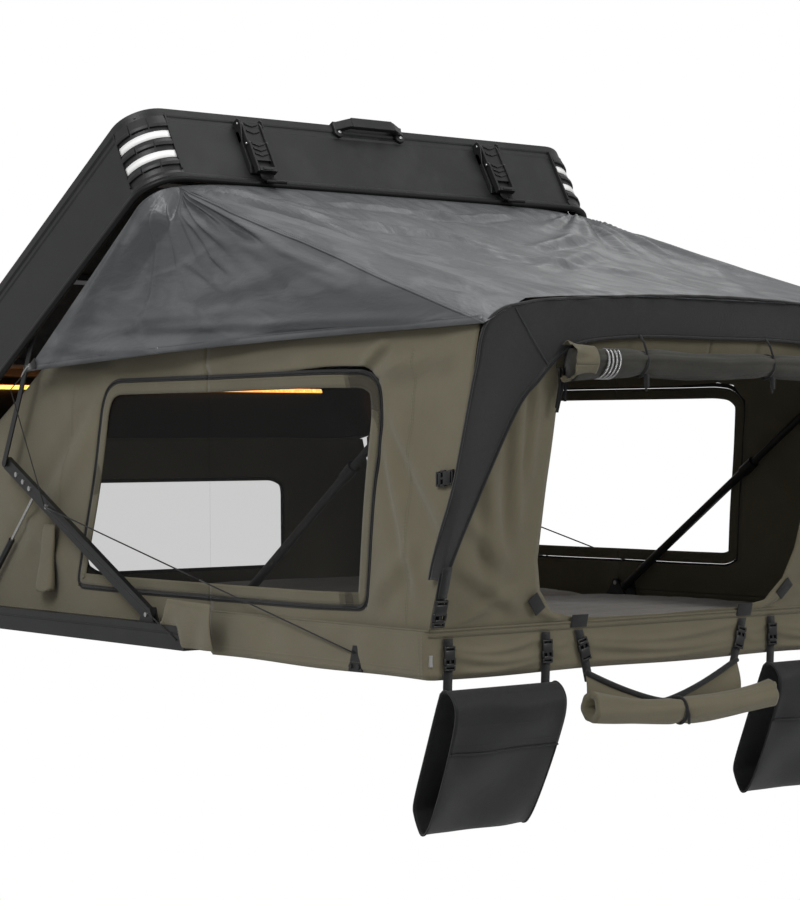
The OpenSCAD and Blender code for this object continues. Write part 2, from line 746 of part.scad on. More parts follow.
module bag_near() {
  bag(-bag_y);
}
module bag_far() {
  bag(bag_y);
}
pouch_r = 34;
module pouch() {
  color("darkkhaki") {
    translate([end_x, 0, 0]) rotate([90, 0, 90]) linear_extrude(height = cloth_t)
      polygon([[-pouch_y - 12, bag_top], [-pouch_y + 12, bag_top], [0, -76], [pouch_y - 12, bag_top],
        [pouch_y + 12, bag_top], [pouch_y + 10, -112], [-pouch_y - 10, -112]]);
    difference() {
      ypin(end_x + cloth_t + pouch_r - 1, -112, -pouch_y - 10, pouch_y + 10, pouch_r);
      for (s = [-1, 1])
        translate([0, s * (pouch_y + 10), 0])
          ypin(end_x + cloth_t + pouch_r - 1, -112, -40, 40, pouch_r - 12);
    }
  }
}

// Fly
fly_t = 2.5;
module fly_rod() {
  color("black") on_lid() ypin(lid_front_x + 3.1, tray_h + 3.2, -cross_len / 2, cross_len / 2, 3);
}
bow_top_p = [bow_x + (bow_len + bend_r) * cos(bow_rise), fold_z + (bow_len + bend_r) * sin(bow_rise)];
fly_a = lidp(lid_front_x + 6.4, 0, tray_h + 3);
function endp(z, off) = end_x + (z - seam_z) * tan(end_lean) + off;
fly_z = bow_top_p[1] + top_r + 2;
fly_edge = [endp(fly_z, 16), bow_y - bend_r + 10, fly_z];
fly_low = [endp(low_z, 14), cloth_out + 1.5, low_z];
fly_top = [fly_a[0], half_w + 1, fly_a[2]];
fly_f = (fly_a[0] - fly_rear[0]) / (fly_low[0] - fly_rear[0]);
fly_tail = [fly_rear[0], half_w + 1, fly_rear[1]];
fly_mid = fly_tail + (fly_low - fly_tail) * fly_f;
module fly_sheet() {
  color("dimgray")
    slab([[fly_a[0], -half_w, fly_a[2]], [fly_edge[0], -fly_edge[1], fly_z],
      [fly_edge[0], fly_edge[1], fly_z], [fly_a[0], half_w, fly_a[2]]], [0, 0, fly_t]);
}
module fly_rear_sides() {
  color("dimgray") twins() slab([fly_top, fly_mid, fly_tail], [0, fly_t, 0]);
}
module fly_front_sides() {
  color("dimgray") twins()
    slab([fly_top, [fly_edge[0], fly_edge[1] + 1, fly_z], fly_low, fly_mid], [0, fly_t, 0]);
}
leg_off = cloth_t + 0.3;
leg_y = cloth_out - 7;
leg_pts = [[leg_y + 14, 118], [leg_y + 10, 480], [leg_y - 6, 676], [leg_y - 106, 732], [106 - leg_y, 732],
  [6 - leg_y, 676], [-leg_y - 10, 480], [-leg_y - 14, 118], [-leg_y + 6, 118], [-leg_y + 42, 244],
  [-leg_y + 124, 486], [-leg_y + 176, 560], [-leg_y + 227, 617], [-leg_y + 291, 646], [-leg_y + 451, 661],
  [leg_y - 451, 661], [leg_y - 291, 646], [leg_y - 227, 617], [leg_y - 176, 560], [leg_y - 124, 486],
  [leg_y - 42, 244], [leg_y - 6, 118]];
module fly_legs() {
  color("black") on_end() {
    translate([0, 0, leg_off]) linear_extrude(height = fly_t) polygon(leg_pts);
    for (s = [-1, 1]) {
      translate([s * leg_y - 12, 20, leg_off]) cube([24, 100, fly_t]);
      translate([s * leg_y - 18, 22, leg_off]) cube([36, 46, 10]);
    }
  }
}

tray_frame();
tray_floor();
rack_rails();
arm_brackets();
arm_pins();
fold_leaves_base();
fold_pins();
strut_brackets();
mattress_rear();
wall_rear();
wall_near_rear();
wall_far_rear();
mesh_near_rear();
stay_cables();
wall_flaps();
lift_arm_near();
lift_arm_far();
arm_bolts();
lid_links();
lid_roof();
lid_front();
lid_back();
lid_side_near();
lid_side_far();
lid_corners();
reflectors();
lid_seal();
lid_pivots();
ceiling_liner();
lid_bars();
light_strip();
latch_bases();
handle();
latch_levers();
latch_straps();
strut_cylinders();
strut_rods();
bed_panel();
mattress_front();
fold_leaves_panel();
cable_plates();
bow_brackets();
wall_near_front();
wall_far_front();
mesh_near_front();
end_wall();
door_roll();
skirt();
bag_near();
bag_far();
pouch();
hang_straps();
bow_legs();
bow_collars();
bow_top();
fly_rod();
fly_sheet();
fly_rear_sides();
fly_front_sides();
fly_legs();
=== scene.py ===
import math
import bmesh
import bpy
import numpy as np
from mathutils import Matrix, Vector


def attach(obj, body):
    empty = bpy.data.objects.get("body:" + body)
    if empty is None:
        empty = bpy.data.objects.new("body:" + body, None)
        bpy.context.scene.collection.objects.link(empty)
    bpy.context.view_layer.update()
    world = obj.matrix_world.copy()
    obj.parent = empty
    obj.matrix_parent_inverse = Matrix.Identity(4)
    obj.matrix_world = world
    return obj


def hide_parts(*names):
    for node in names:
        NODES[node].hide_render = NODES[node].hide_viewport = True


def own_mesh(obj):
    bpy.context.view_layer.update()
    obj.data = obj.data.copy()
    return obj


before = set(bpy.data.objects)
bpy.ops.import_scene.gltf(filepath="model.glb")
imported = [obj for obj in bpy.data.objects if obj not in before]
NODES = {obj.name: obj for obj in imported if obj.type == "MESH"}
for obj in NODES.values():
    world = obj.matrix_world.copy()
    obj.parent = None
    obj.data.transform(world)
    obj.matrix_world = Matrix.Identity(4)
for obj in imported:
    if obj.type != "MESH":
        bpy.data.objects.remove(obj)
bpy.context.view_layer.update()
scene = bpy.context.scene

# Sizes shared with the solids, in metres
SIDES = ((-1, "near"), (1, "far"))
CLOTH_Y = 0.6815                # middle of the canvas side walls
END_X = 1.503                   # outside of the skirt at the entrance
SEAM_Z = 0.097                  # seam between skirt and walls
LEAN = math.radians(15.0)       # lean of the entrance end
FOLD_X = 0.620                  # fold between tray and bed panel
TILT = math.radians(30.08)      # tilt of the raised lid
LID_FRONT = (0.4715, 1.166)     # X and Z of the raised lid's front rim
LID_LEN_X = 0.688               # front rim of the closed lid
TRAY_H = 0.060                  # height of the closed lid's rim

LID = (Matrix.Translation((LID_FRONT[0], 0, LID_FRONT[1])) @ Matrix.Rotation(-TILT, 4, "Y")
       @ Matrix.Translation((-LID_LEN_X, 0, -TRAY_H)))


def end_point(y, v, off=0.0):
    """Point of the leaning entrance plane: across, up the slope, outwards."""
    return np.array([END_X + v * math.sin(LEAN) + off * math.cos(LEAN), y,
                     SEAM_Z + v * math.cos(LEAN) - off * math.sin(LEAN)])


def lid_point(x, y, z):
    """Point of the closed lid, moved to the raised lid."""
    return np.array(LID @ Vector((x, y, z)))


# Shader groups

def new_group(name, ins, outs):
    """Shader group with number sockets: inputs with their first values, outputs by name."""
    g = bpy.data.node_groups.new(name, "ShaderNodeTree")
    for n, value in ins.items():
        g.interface.new_socket(name=n, in_out="INPUT", socket_type="NodeSocketFloat").default_value = value
    for n in outs:
        g.interface.new_socket(name=n, in_out="OUTPUT", socket_type="NodeSocketFloat")
    return g, g.nodes.new("NodeGroupInput"), g.nodes.new("NodeGroupOutput")


def add(tree, kind, links=(), **props):
    n = tree.nodes.new(kind)
    for k, v in props.items():
        if k.startswith("in_"):
            key = k[3:]
            n.inputs[int(key) if key.isdigit() else key.replace("_", " ")].default_value = v
        else:
            setattr(n, k, v)
    for src, dst in links:
        tree.links.new(src, n.inputs[dst])
    return n


def maths(tree, operation, a, b):
    return add(tree, "ShaderNodeMath", [(a, 0), (b, 1)], operation=operation).outputs[0]


def cloth_weave_group():
    """Plain weave: threads both ways, with slubs and slow fading of the dye."""
    g, gi, go = new_group("cloth_weave", {"Thread Pitch": 900.0, "Fade Size": 3.0}, ("Height", "Fade", "Grime"))
    pos = add(g, "ShaderNodeTexCoord").outputs["Object"]
    threads = [add(g, "ShaderNodeTexWave", [(pos, "Vector"), (gi.outputs["Thread Pitch"], "Scale")],
                   wave_type="BANDS", bands_direction=axis, in_Distortion=0.6).outputs["Fac"] for axis in "XYZ"]
    crossed = maths(g, "ADD", maths(g, "ADD", threads[0], threads[1]), threads[2])
    slub = add(g, "ShaderNodeTexNoise", [(pos, "Vector")], in_Scale=160.0, in_Detail=4.0)
    fade = add(g, "ShaderNodeTexNoise", [(pos, "Vector"), (gi.outputs["Fade Size"], "Scale")], in_Detail=6.0,
               in_Roughness=0.6)
    grime = add(g, "ShaderNodeTexNoise", [(pos, "Vector")], in_Scale=28.0, in_Detail=5.0, in_Roughness=0.7)
    g.links.new(maths(g, "MULTIPLY", crossed, slub.outputs["Fac"]), go.inputs["Height"])
    g.links.new(fade.outputs["Fac"], go.inputs["Fade"])
    g.links.new(grime.outputs["Fac"], go.inputs["Grime"])
    return g


def crinkle_group():
    """Creases of coated cloth: long streaks along the slope, fine crumples between them, and a mask that paints
    highlight streaks on the crests.
    """
    g, gi, go = new_group("crinkle", {"Size": 9.0}, ("Height", "Streak"))
    tc = add(g, "ShaderNodeTexCoord")
    mp = add(g, "ShaderNodeMapping", [(tc.outputs["Object"], "Vector")], in_Scale=(0.55, 2.4, 1.9))
    n1 = add(g, "ShaderNodeTexNoise", [(mp.outputs[0], "Vector"), (gi.outputs["Size"], "Scale")],
             in_Detail=5.0, in_Roughness=0.5, in_Distortion=0.9)
    n2 = add(g, "ShaderNodeTexNoise", [(mp.outputs[0], "Vector")], in_Scale=16.0, in_Detail=3.0,
             in_Roughness=0.6, in_Distortion=0.5)
    mix = add(g, "ShaderNodeMath", [(n2.outputs["Fac"], 0), (n1.outputs["Fac"], 2)],
              operation="MULTIPLY_ADD", in_1=0.45)
    # Painted highlight mask: high where the creases rise
    r = add(g, "ShaderNodeMapRange", [(n1.outputs["Fac"], "Value")], in_From_Min=0.35, in_From_Max=0.70)
    g.links.new(mix.outputs[0], go.inputs["Height"])
    g.links.new(r.outputs[0], go.inputs["Streak"])
    return g


def moulding_group():
    """Fine grain of powder coat or moulded plastic, with faint dust."""
    g, gi, go = new_group("moulding", {"Grain": 1400.0}, ("Height", "Dust"))
    pos = add(g, "ShaderNodeTexCoord").outputs["Object"]
    n1 = add(g, "ShaderNodeTexNoise", [(pos, "Vector"), (gi.outputs["Grain"], "Scale")], in_Detail=2.0)
    n2 = add(g, "ShaderNodeTexNoise", [(pos, "Vector")], in_Scale=7.0, in_Detail=8.0, in_Roughness=0.7)
    r = add(g, "ShaderNodeMapRange", [(n2.outputs["Fac"], "Value")], in_From_Min=0.35, in_From_Max=0.75)
    g.links.new(n1.outputs["Fac"], go.inputs["Height"])
    g.links.new(r.outputs[0], go.inputs["Dust"])
    return g


def brushed_group():
    """Drawn metal: long thin scratches along one way."""
    g, gi, go = new_group("brushed", {"Length": 12.0}, ("Height", "Tone"))
    tc = add(g, "ShaderNodeTexCoord")
    mp = add(g, "ShaderNodeMapping", [(tc.outputs["Object"], "Vector")], in_Scale=(1.0, 1.0, 40.0))
    n1 = add(g, "ShaderNodeTexNoise", [(mp.outputs[0], "Vector"), (gi.outputs["Length"], "Scale")],
             in_Detail=3.0)
    for name in ("Height", "Tone"):
        g.links.new(n1.outputs["Fac"], go.inputs[name])
    return g


WEAVE, CRINKLE, MOULD, BRUSHED = cloth_weave_group(), crinkle_group(), moulding_group(), brushed_group()


def base_material(name):
    m = bpy.data.materials.new(name)
    m.use_nodes = True
    t = m.node_tree
    t.nodes.clear()
    out = add(t, "ShaderNodeOutputMaterial")
    sh = add(t, "ShaderNodeBsdfPrincipled")
    t.links.new(sh.outputs[0], out.inputs[0])
    return m, t, sh


def use(tree, group, **values):
    n = add(tree, "ShaderNodeGroup")
    n.node_tree = group
    for k, v in values.items():
        n.inputs[k.replace("_", " ")].default_value = v
    return n


def tint(tree, fac, a, b):
    r = add(tree, "ShaderNodeValToRGB", [(fac, "Fac")])
    r.color_ramp.elements[0].position = 0.3
    r.color_ramp.elements[1].position = 0.7
    r.color_ramp.elements[0].color = (*a, 1)
    r.color_ramp.elements[1].color = (*b, 1)
    return r.outputs["Color"]


def spread(tree, fac, lo, hi):
    return add(tree, "ShaderNodeMapRange", [(fac, "Value")], in_To_Min=lo, in_To_Max=hi).outputs[0]


def bump(tree, sh, height, strength, distance=0.001):
    b = add(tree, "ShaderNodeBump", [(height, "Height")], in_Strength=strength, in_Distance=distance)
    tree.links.new(b.outputs[0], sh.inputs["Normal"])


def cloth(name, a, b, rough=(0.75, 0.95), pitch=900.0, depth=0.35, sheen=0.15, fade=3.0, distance=0.0006):
    m, t, sh = base_material(name)
    w = use(t, WEAVE, Thread_Pitch=pitch, Fade_Size=fade)
    t.links.new(tint(t, w.outputs["Fade"], a, b), sh.inputs["Base Color"])
    t.links.new(spread(t, w.outputs["Grime"], *rough), sh.inputs["Roughness"])
    bump(t, sh, w.outputs["Height"], depth, distance)
    sh.inputs["Sheen Weight"].default_value = sheen
    sh.inputs["Sheen Roughness"].default_value = 0.5
    sh.inputs["Specular IOR Level"].default_value = 0.3
    return m


def coated(name, a, b, rough=(0.30, 0.44), depth=0.55, size=7.0, distance=0.010):
    m, t, sh = base_material(name)
    c = use(t, CRINKLE, Size=size)
    # Colour lighter on the crease crests: painted highlight streaks; the same mask also makes them glossier
    t.links.new(tint(t, c.outputs["Streak"], a, b), sh.inputs["Base Color"])
    t.links.new(spread(t, c.outputs["Streak"], rough[1], rough[0]), sh.inputs["Roughness"])
    bump(t, sh, c.outputs["Height"], depth, distance)
    sh.inputs["Specular IOR Level"].default_value = 0.45
    return m


def moulded(name, a, b, rough=(0.4, 0.6), metallic=0.0, grain=1400.0, depth=0.12, spec=0.5):
    m, t, sh = base_material(name)
    g = use(t, MOULD, Grain=grain)
    t.links.new(tint(t, g.outputs["Dust"], a, b), sh.inputs["Base Color"])
    t.links.new(spread(t, g.outputs["Dust"], *rough), sh.inputs["Roughness"])
    bump(t, sh, g.outputs["Height"], depth, 0.0004)
    sh.inputs["Metallic"].default_value = metallic
    sh.inputs["Specular IOR Level"].default_value = spec
    return m


def metal(name, a, b, rough=(0.25, 0.4), length=12.0):
    m, t, sh = base_material(name)
    g = use(t, BRUSHED, Length=length)
    t.links.new(tint(t, g.outputs["Tone"], a, b), sh.inputs["Base Color"])
    t.links.new(spread(t, g.outputs["Tone"], *rough), sh.inputs["Roughness"])
    bump(t, sh, g.outputs["Height"], 0.1, 0.0003)
    sh.inputs["Metallic"].default_value = 1.0
    return m


CANVAS = cloth("canvas", (0.118, 0.104, 0.066), (0.150, 0.133, 0.086))
CANVAS_BAND = cloth("canvas_band", (0.104, 0.092, 0.058), (0.132, 0.117, 0.075))
DOOR_CLOTH = cloth("door_cloth", (0.020, 0.020, 0.016), (0.040, 0.038, 0.030), rough=(0.6, 0.85))
# Second colour: the painted highlight on the fly's crease crests
FLY_CLOTH = coated("fly_cloth", (0.070, 0.073, 0.077), (0.094, 0.098, 0.102))
FLY_BLACK = cloth("fly_black", (0.010, 0.010, 0.0105), (0.017, 0.017, 0.018), rough=(0.5, 0.7), sheen=0.25)
BAG_CLOTH = cloth("bag_cloth", (0.0060, 0.0062, 0.0068), (0.0100, 0.0102, 0.0110), rough=(0.46, 0.66),
                  sheen=0.12)
WEBBING = cloth("webbing", (0.008, 0.008, 0.009), (0.014, 0.014, 0.015), pitch=520.0, depth=0.6)
MATTRESS = cloth("mattress_cloth", (0.130, 0.112, 0.090), (0.175, 0.150, 0.122), sheen=0.3)
LINING = cloth("ceiling_cloth", (0.02, 0.018, 0.016), (0.03, 0.027, 0.025))
STITCH = cloth("stitch_thread", (0.20, 0.182, 0.125), (0.25, 0.23, 0.16))
STITCH_DARK = cloth("stitch_dark", (0.03, 0.03, 0.03), (0.05, 0.05, 0.05))
SHELL_BLACK = moulded("shell_black", (0.0085, 0.0088, 0.0092), (0.016, 0.0165, 0.017), rough=(0.38, 0.55),
                      grain=900.0, depth=0.2)
PLASTIC = moulded("black_plastic", (0.006, 0.006, 0.0065), (0.011, 0.011, 0.0115), rough=(0.36, 0.52))
RUBBER = moulded("black_rubber", (0.0035, 0.0035, 0.0035), (0.006, 0.006, 0.006), rough=(0.42, 0.58),
                 spec=0.25)
STEEL_DARK = moulded("hinge_steel", (0.02, 0.02, 0.021), (0.035, 0.035, 0.036), rough=(0.35, 0.5),
                     metallic=0.4)
STEEL = metal("bright_steel", (0.5, 0.5, 0.5), (0.62, 0.62, 0.62))
ALUMINIUM = metal("board_aluminium", (0.4, 0.4, 0.41), (0.5, 0.5, 0.51), rough=(0.35, 0.5))
REFLECTOR = moulded("reflective", (0.86, 0.86, 0.85), (0.93, 0.93, 0.92), rough=(0.25, 0.4))
CORD = cloth("cord", (0.008, 0.008, 0.008), (0.014, 0.014, 0.014), pitch=1500.0)


def mesh_material():
    m, t, sh = base_material("insect_mesh")
    w = use(t, WEAVE, Thread_Pitch=600.0, Fade_Size=2.0)
    col = tint(t, w.outputs["Fade"], (0.006, 0.006, 0.006), (0.01, 0.01, 0.009))
    t.links.new(col, sh.inputs["Base Color"])
    sh.inputs["Roughness"].default_value = 0.9
    sh.inputs["Alpha"].default_value = 0.24
    return m


def light_material():
    m, t, sh = base_material("warm_light")
    g = use(t, MOULD, Grain=90.0)
    col = tint(t, g.outputs["Height"], (1.0, 0.32, 0.05), (1.0, 0.5, 0.14))
    t.links.new(col, sh.inputs["Base Color"])
    t.links.new(col, sh.inputs["Emission Color"])
    sh.inputs["Emission Strength"].default_value = 3.0
    return m


INSECT_MESH, WARM_LIGHT = mesh_material(), light_material()

# Mesh helpers


def piece(name, pts, faces, mat, smooth=True, normals=None):
    me = bpy.data.meshes.new(name)
    me.from_pydata([tuple(map(float, p)) for p in pts], [], [tuple(map(int, f)) for f in faces])
    me.materials.append(mat)
    me.polygons.foreach_set("use_smooth", [smooth] * len(me.polygons))
    if normals is not None:
        me.normals_split_custom_set_from_vertices([tuple(n) for n in normals])
    me.update()
    ob = bpy.data.objects.new(name, me)
    scene.collection.objects.link(ob)
    return ob


def put(ob, body, slot, *nodes):
    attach(ob, body)
    if nodes:
        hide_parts(*nodes)
    return ob


def grid_faces(nu, nv):
    """Faces of a grid of nu rows with nv points each."""
    corners = [(i * nv + j, (i + 1) * nv + j) for i in range(nu - 1) for j in range(nv - 1)]
    return [(a, b, b + 1, a + 1) for a, b in corners]


def ring_faces(n, m, turned=False):
    """Side faces of n closed rings with m points each, turned over where asked."""
    edges = [(i * m + k, i * m + (k + 1) % m) for i in range(n - 1) for k in range(m)]
    if turned:
        return [(a, a + m, b + m, b) for a, b in edges]
    return [(a, b, b + m, a + m) for a, b in edges]


def end_caps(n, m):
    """Faces that close the first and the last of n rings."""
    return [tuple(range(m)), tuple((n - 1) * m + k for k in reversed(range(m)))]


def unit_rows(v):
    return v / np.linalg.norm(v, axis=1)[:, None]


def facing(pts, faces, way):
    """Turns a sheet's faces so that they look the given way."""
    n = vertex_normals(pts, faces)
    if (n @ np.asarray(way, float)).sum() < 0:
        return [tuple(reversed(f)) for f in faces]
    return faces


def merge(parts):
    pts, faces = [], []
    for p, f in parts:
        k = len(pts)
        pts += list(p)
        faces += [tuple(i + k for i in q) for q in f]
    return pts, faces


def vertex_normals(pts, faces):
    pts = np.asarray(pts, float)
    n = np.zeros_like(pts)
    for size in (3, 4):
        f = np.array([q for q in faces if len(q) == size])
        if len(f):
            a, b = (pts[f[:, 1]] - pts[f[:, 0]], pts[f[:, 2]] - pts[f[:, 0]]) if size == 3 else (
                pts[f[:, 2]] - pts[f[:, 0]], pts[f[:, 3]] - pts[f[:, 1]])
            c = np.cross(a, b)
            for k in range(size):
                np.add.at(n, f[:, k], c)
    ln = np.linalg.norm(n, axis=1)
    ln[ln < 1e-12] = 1
    return n / ln[:, None]


def area_of(pts, faces):
    pts = np.asarray(pts, float)
    total = 0.0
    for size in (3, 4):
        f = np.array([q for q in faces if len(q) == size])
        for k in range(1, size - 1):
            if len(f):
                a, b = pts[f[:, k]] - pts[f[:, 0]], pts[f[:, k + 1]] - pts[f[:, 0]]
                total += np.linalg.norm(np.cross(a, b), axis=1).sum() / 2
    return float(total)


def shell_faces(faces, k):
    """Faces of a closed shell: a sheet, its copy k points later, and the rim between them."""
    edges = {(a, b): True for f in faces for a, b in zip(f, f[1:] + f[:1])}
    rim = [(b, a, a + k, b + k) for (a, b) in edges if (b, a) not in edges]
    return list(faces) + [tuple(i + k for i in reversed(f)) for f in faces] + rim


def thicken(pts, faces, t, normals=None):
    """Closed shell from a sheet: the sheet, its back at distance t, and the rim."""
    pts = np.asarray(pts, float)
    n = vertex_normals(pts, faces) if normals is None else normals
    return np.vstack([pts, pts - n * t]), shell_faces(faces, len(pts)), np.vstack([n, -n])


def cloth_piece(name, pts, faces, mat, t=0.0016, normals=None):
    p, f, n = thicken(pts, faces, t, normals)
    ob = piece(name, p, f, mat, normals=n if normals is not None else None)
    ob["cut_area"] = area_of(pts, faces)
    return ob


def cut(ob):
    """Returns the sheet unchanged; its area, that of the cut, is stored when the sheet is made."""
    return ob


def waves(x, y, seed, count=9, lo=4.0, hi=16.0):
    """Smooth seeded ripple of height about one, from crossed sines."""
    r = np.random.RandomState(seed)
    s = 0
    for _ in range(count):
        k = r.uniform(lo, hi)
        a = r.uniform(0, math.tau)
        s = s + np.sin(k * (np.cos(a) * x + np.sin(a) * y) + r.uniform(0, math.tau)) / math.sqrt(count)
    return s


def smooth_step(t):
    t = np.clip(t, 0, 1)
    return t * t * (3 - 2 * t)


def pull(x, z, a, b, width, depth):
    """A fold pulled straight from one point to another, with soft ends."""
    ax, az = a
    dx, dz = b[0] - ax, b[1] - az
    ln = math.hypot(dx, dz)
    s = ((x - ax) * dx + (z - az) * dz) / ln
    d = ((x - ax) * dz - (z - az) * dx) / ln
    end = smooth_step(s / (0.25 * ln)) * smooth_step((ln - s) / (0.35 * ln))
    return depth * end * (np.exp(-(d / width) ** 2) - 0.6 * np.exp(-((d - 1.6 * width) / width) ** 2))


def tube(path, r, sides=10, cap=True):
    """Round bar along a path, with one radius or one for each point."""
    path = np.asarray(path, float)
    n = len(path)
    tang = unit_rows(np.gradient(path, axis=0))
    ref = np.array([0, 0, 1.0]) if abs(tang[0][2]) < 0.9 else np.array([1.0, 0, 0])
    u = np.cross(tang[0], ref)
    u /= np.linalg.norm(u)
    pts = []
    rad = np.broadcast_to(np.asarray(r, float), (n,))
    for i in range(n):
        u = u - tang[i] * (u @ tang[i])
        u /= np.linalg.norm(u)
        w = np.cross(tang[i], u)
        for k in range(sides):
            a = math.tau * k / sides
            pts.append(path[i] + rad[i] * (math.cos(a) * u + math.sin(a) * w))
    faces = ring_faces(n, sides)
    if cap:
        faces += [f[::-1] for f in end_caps(n, sides)]
    return pts, faces


def block(size, at, bevel=0.001, turn=None, segments=2):
    """Box with rounded edges, centred at a point, in an optional 3x3 turn."""
    bm = bmesh.new()
    bmesh.ops.create_cube(bm, size=1.0)
    bmesh.ops.scale(bm, vec=size, verts=bm.verts)
    if bevel:
        bmesh.ops.bevel(bm, geom=list(bm.edges), offset=bevel, segments=segments, profile=0.5, affect="EDGES")
    pts = np.array([v.co for v in bm.verts], float)
    faces = [tuple(v.index for v in f.verts) for f in bm.faces]
    bm.free()
    if turn is not None:
        pts = pts @ np.asarray(turn, float).T
    return pts + np.asarray(at, float), faces


def ribbon(path, side, width, t):
    """Flat strap along a path, side gives its width direction at each point."""
    path = np.asarray(path, float)
    side = unit_rows(np.broadcast_to(np.asarray(side, float), path.shape))
    nrm = unit_rows(np.cross(np.gradient(path, axis=0), side))
    pts = []
    for p, s, n in zip(path, side, nrm):
        for a, b in ((-1, 1), (1, 1), (1, -1), (-1, -1)):
            pts.append(p + s * width / 2 * a + n * t / 2 * b)
    return pts, ring_faces(len(path), 4, True) + end_caps(len(path), 4)


def outward(ob):
    bm = bmesh.new()
    bm.from_mesh(ob.data)
    bmesh.ops.recalc_face_normals(bm, faces=bm.faces)
    bm.to_mesh(ob.data)
    bm.free()
    return ob


def fit(name, mesh, mat, body, slot, *nodes, smooth=True):
    """A piece with its faces turned outwards, put on its body."""
    return put(outward(piece(name, *mesh, mat, smooth)), body, slot, *nodes)


def resample(poly, n):
    """Polyline cut into n points at even distances."""
    poly = np.asarray(poly, float)
    d = np.r_[0, np.cumsum(np.linalg.norm(np.diff(poly, axis=0), axis=1))]
    s = np.linspace(0, d[-1], n)
    return np.stack([np.interp(s, d, poly[:, k]) for k in range(poly.shape[1])], 1)


def rounded(poly, r, n=7):
    """Open polyline with its inner corners rounded."""
    poly = [np.asarray(p, float) for p in poly]
    out = [poly[0]]
    for a, b, c in zip(poly, poly[1:], poly[2:]):
        u, w = a - b, c - b
        lu, lw = np.linalg.norm(u), np.linalg.norm(w)
        d = min(r, lu * 0.48, lw * 0.48)
        p, q = b + u / lu * d, b + w / lw * d
        for t in np.linspace(0, 1, n):
            out.append((1 - t) ** 2 * p + 2 * t * (1 - t) * b + t * t * q)
    out.append(poly[-1])
    return np.array(out)


# Geometry Nodes for what repeats

def path_tree(name, shape):
    """Copies of a small shape along curves: pitch along the path, size of a copy."""
    g = bpy.data.node_groups.new(name, "GeometryNodeTree")
    g.interface.new_socket(name="Path", in_out="INPUT", socket_type="NodeSocketGeometry")
    for n, v in (("Pitch", 0.006), ("Long", 0.004), ("Wide", 0.0012), ("High", 0.0008)):
        g.interface.new_socket(name=n, in_out="INPUT", socket_type="NodeSocketFloat").default_value = v
    g.interface.new_socket(name="Finish", in_out="INPUT", socket_type="NodeSocketMaterial")
    g.interface.new_socket(name="Row", in_out="OUTPUT", socket_type="NodeSocketGeometry")
    gi = g.nodes.new("NodeGroupInput")
    go = g.nodes.new("NodeGroupOutput")
    curve = add(g, "GeometryNodeMeshToCurve", [(gi.outputs["Path"], "Mesh")])
    pts = add(g, "GeometryNodeCurveToPoints", [(curve.outputs[0], "Curve"), (gi.outputs["Pitch"], "Length")],
              mode="LENGTH")
    if shape == "stitch":
        copy = add(g, "GeometryNodeMeshIcoSphere", in_Radius=0.5, in_Subdivisions=1)
    elif shape == "tooth":
        copy = add(g, "GeometryNodeMeshCube")
    else:
        copy = add(g, "GeometryNodeMeshCylinder", in_Vertices=10, in_Radius=0.5, in_Depth=1.0)
    size = add(g, "ShaderNodeCombineXYZ", [(gi.outputs[n], k) for k, n in enumerate(("Wide", "High", "Long"))])
    inst = add(g, "GeometryNodeInstanceOnPoints", [
        (pts.outputs["Points"], "Points"), (copy.outputs["Mesh"], "Instance"),
        (pts.outputs["Rotation"], "Rotation"), (size.outputs[0], "Scale")])
    real = add(g, "GeometryNodeRealizeInstances", [(inst.outputs[0], "Geometry")])
    mat = add(g, "GeometryNodeSetMaterial", [
        (real.outputs[0], "Geometry"), (gi.outputs["Finish"], "Material")])
    g.links.new(mat.outputs[0], go.inputs["Row"])
    return g


STITCH_ROW, TOOTH_ROW, STUD_ROW = (path_tree("stitch_row", "stitch"), path_tree("zip_tooth_row", "tooth"),
                                   path_tree("stud_row", "stud"))


def row(name, paths, tree, finish, **sizes):
    """Runs a row tree on polylines and returns it as a plain mesh piece."""
    pts, edges = [], []
    for p in paths:
        k = len(pts)
        pts += [tuple(map(float, q)) for q in p]
        edges += [(k + i, k + i + 1) for i in range(len(p) - 1)]
    me = bpy.data.meshes.new(name + "_path")
    me.from_pydata(pts, edges, [])
    src = bpy.data.objects.new(name + "_path", me)
    scene.collection.objects.link(src)
    mod = src.modifiers.new("row", "NODES")
    mod.node_group = tree
    for s in tree.interface.items_tree:
        if s.in_out == "INPUT" and s.name in sizes:
            mod[s.identifier] = sizes[s.name]
        if s.in_out == "INPUT" and s.name == "Finish":
            mod[s.identifier] = finish
    dg = bpy.context.evaluated_depsgraph_get()
    out = bpy.data.meshes.new_from_object(src.evaluated_get(dg), depsgraph=dg)
    bpy.data.objects.remove(src)
    out.name = name
    ob = bpy.data.objects.new(name, out)
    scene.collection.objects.link(ob)
    if not out.materials:
        out.materials.append(finish)
    out.polygons.foreach_set("use_smooth", [True] * len(out.polygons))
    return ob


def stitches(name, paths, body, slot, finish=None, pitch=0.0075, long=0.0045, wide=0.0014, high=0.0010):
    ob = row(name, paths, STITCH_ROW, finish or STITCH, Pitch=pitch, Long=long, Wide=wide, High=high)
    return put(ob, body, slot)


# Finish, pitch, length, width and height of the dark stitches
FLY_STITCH = (STITCH_DARK, 0.007, 0.0042, 0.0013, 0.001)
BAG_STITCH = (STITCH_DARK, 0.006, 0.0036, 0.0011, 0.0009)

# Rigid nodes: finishes

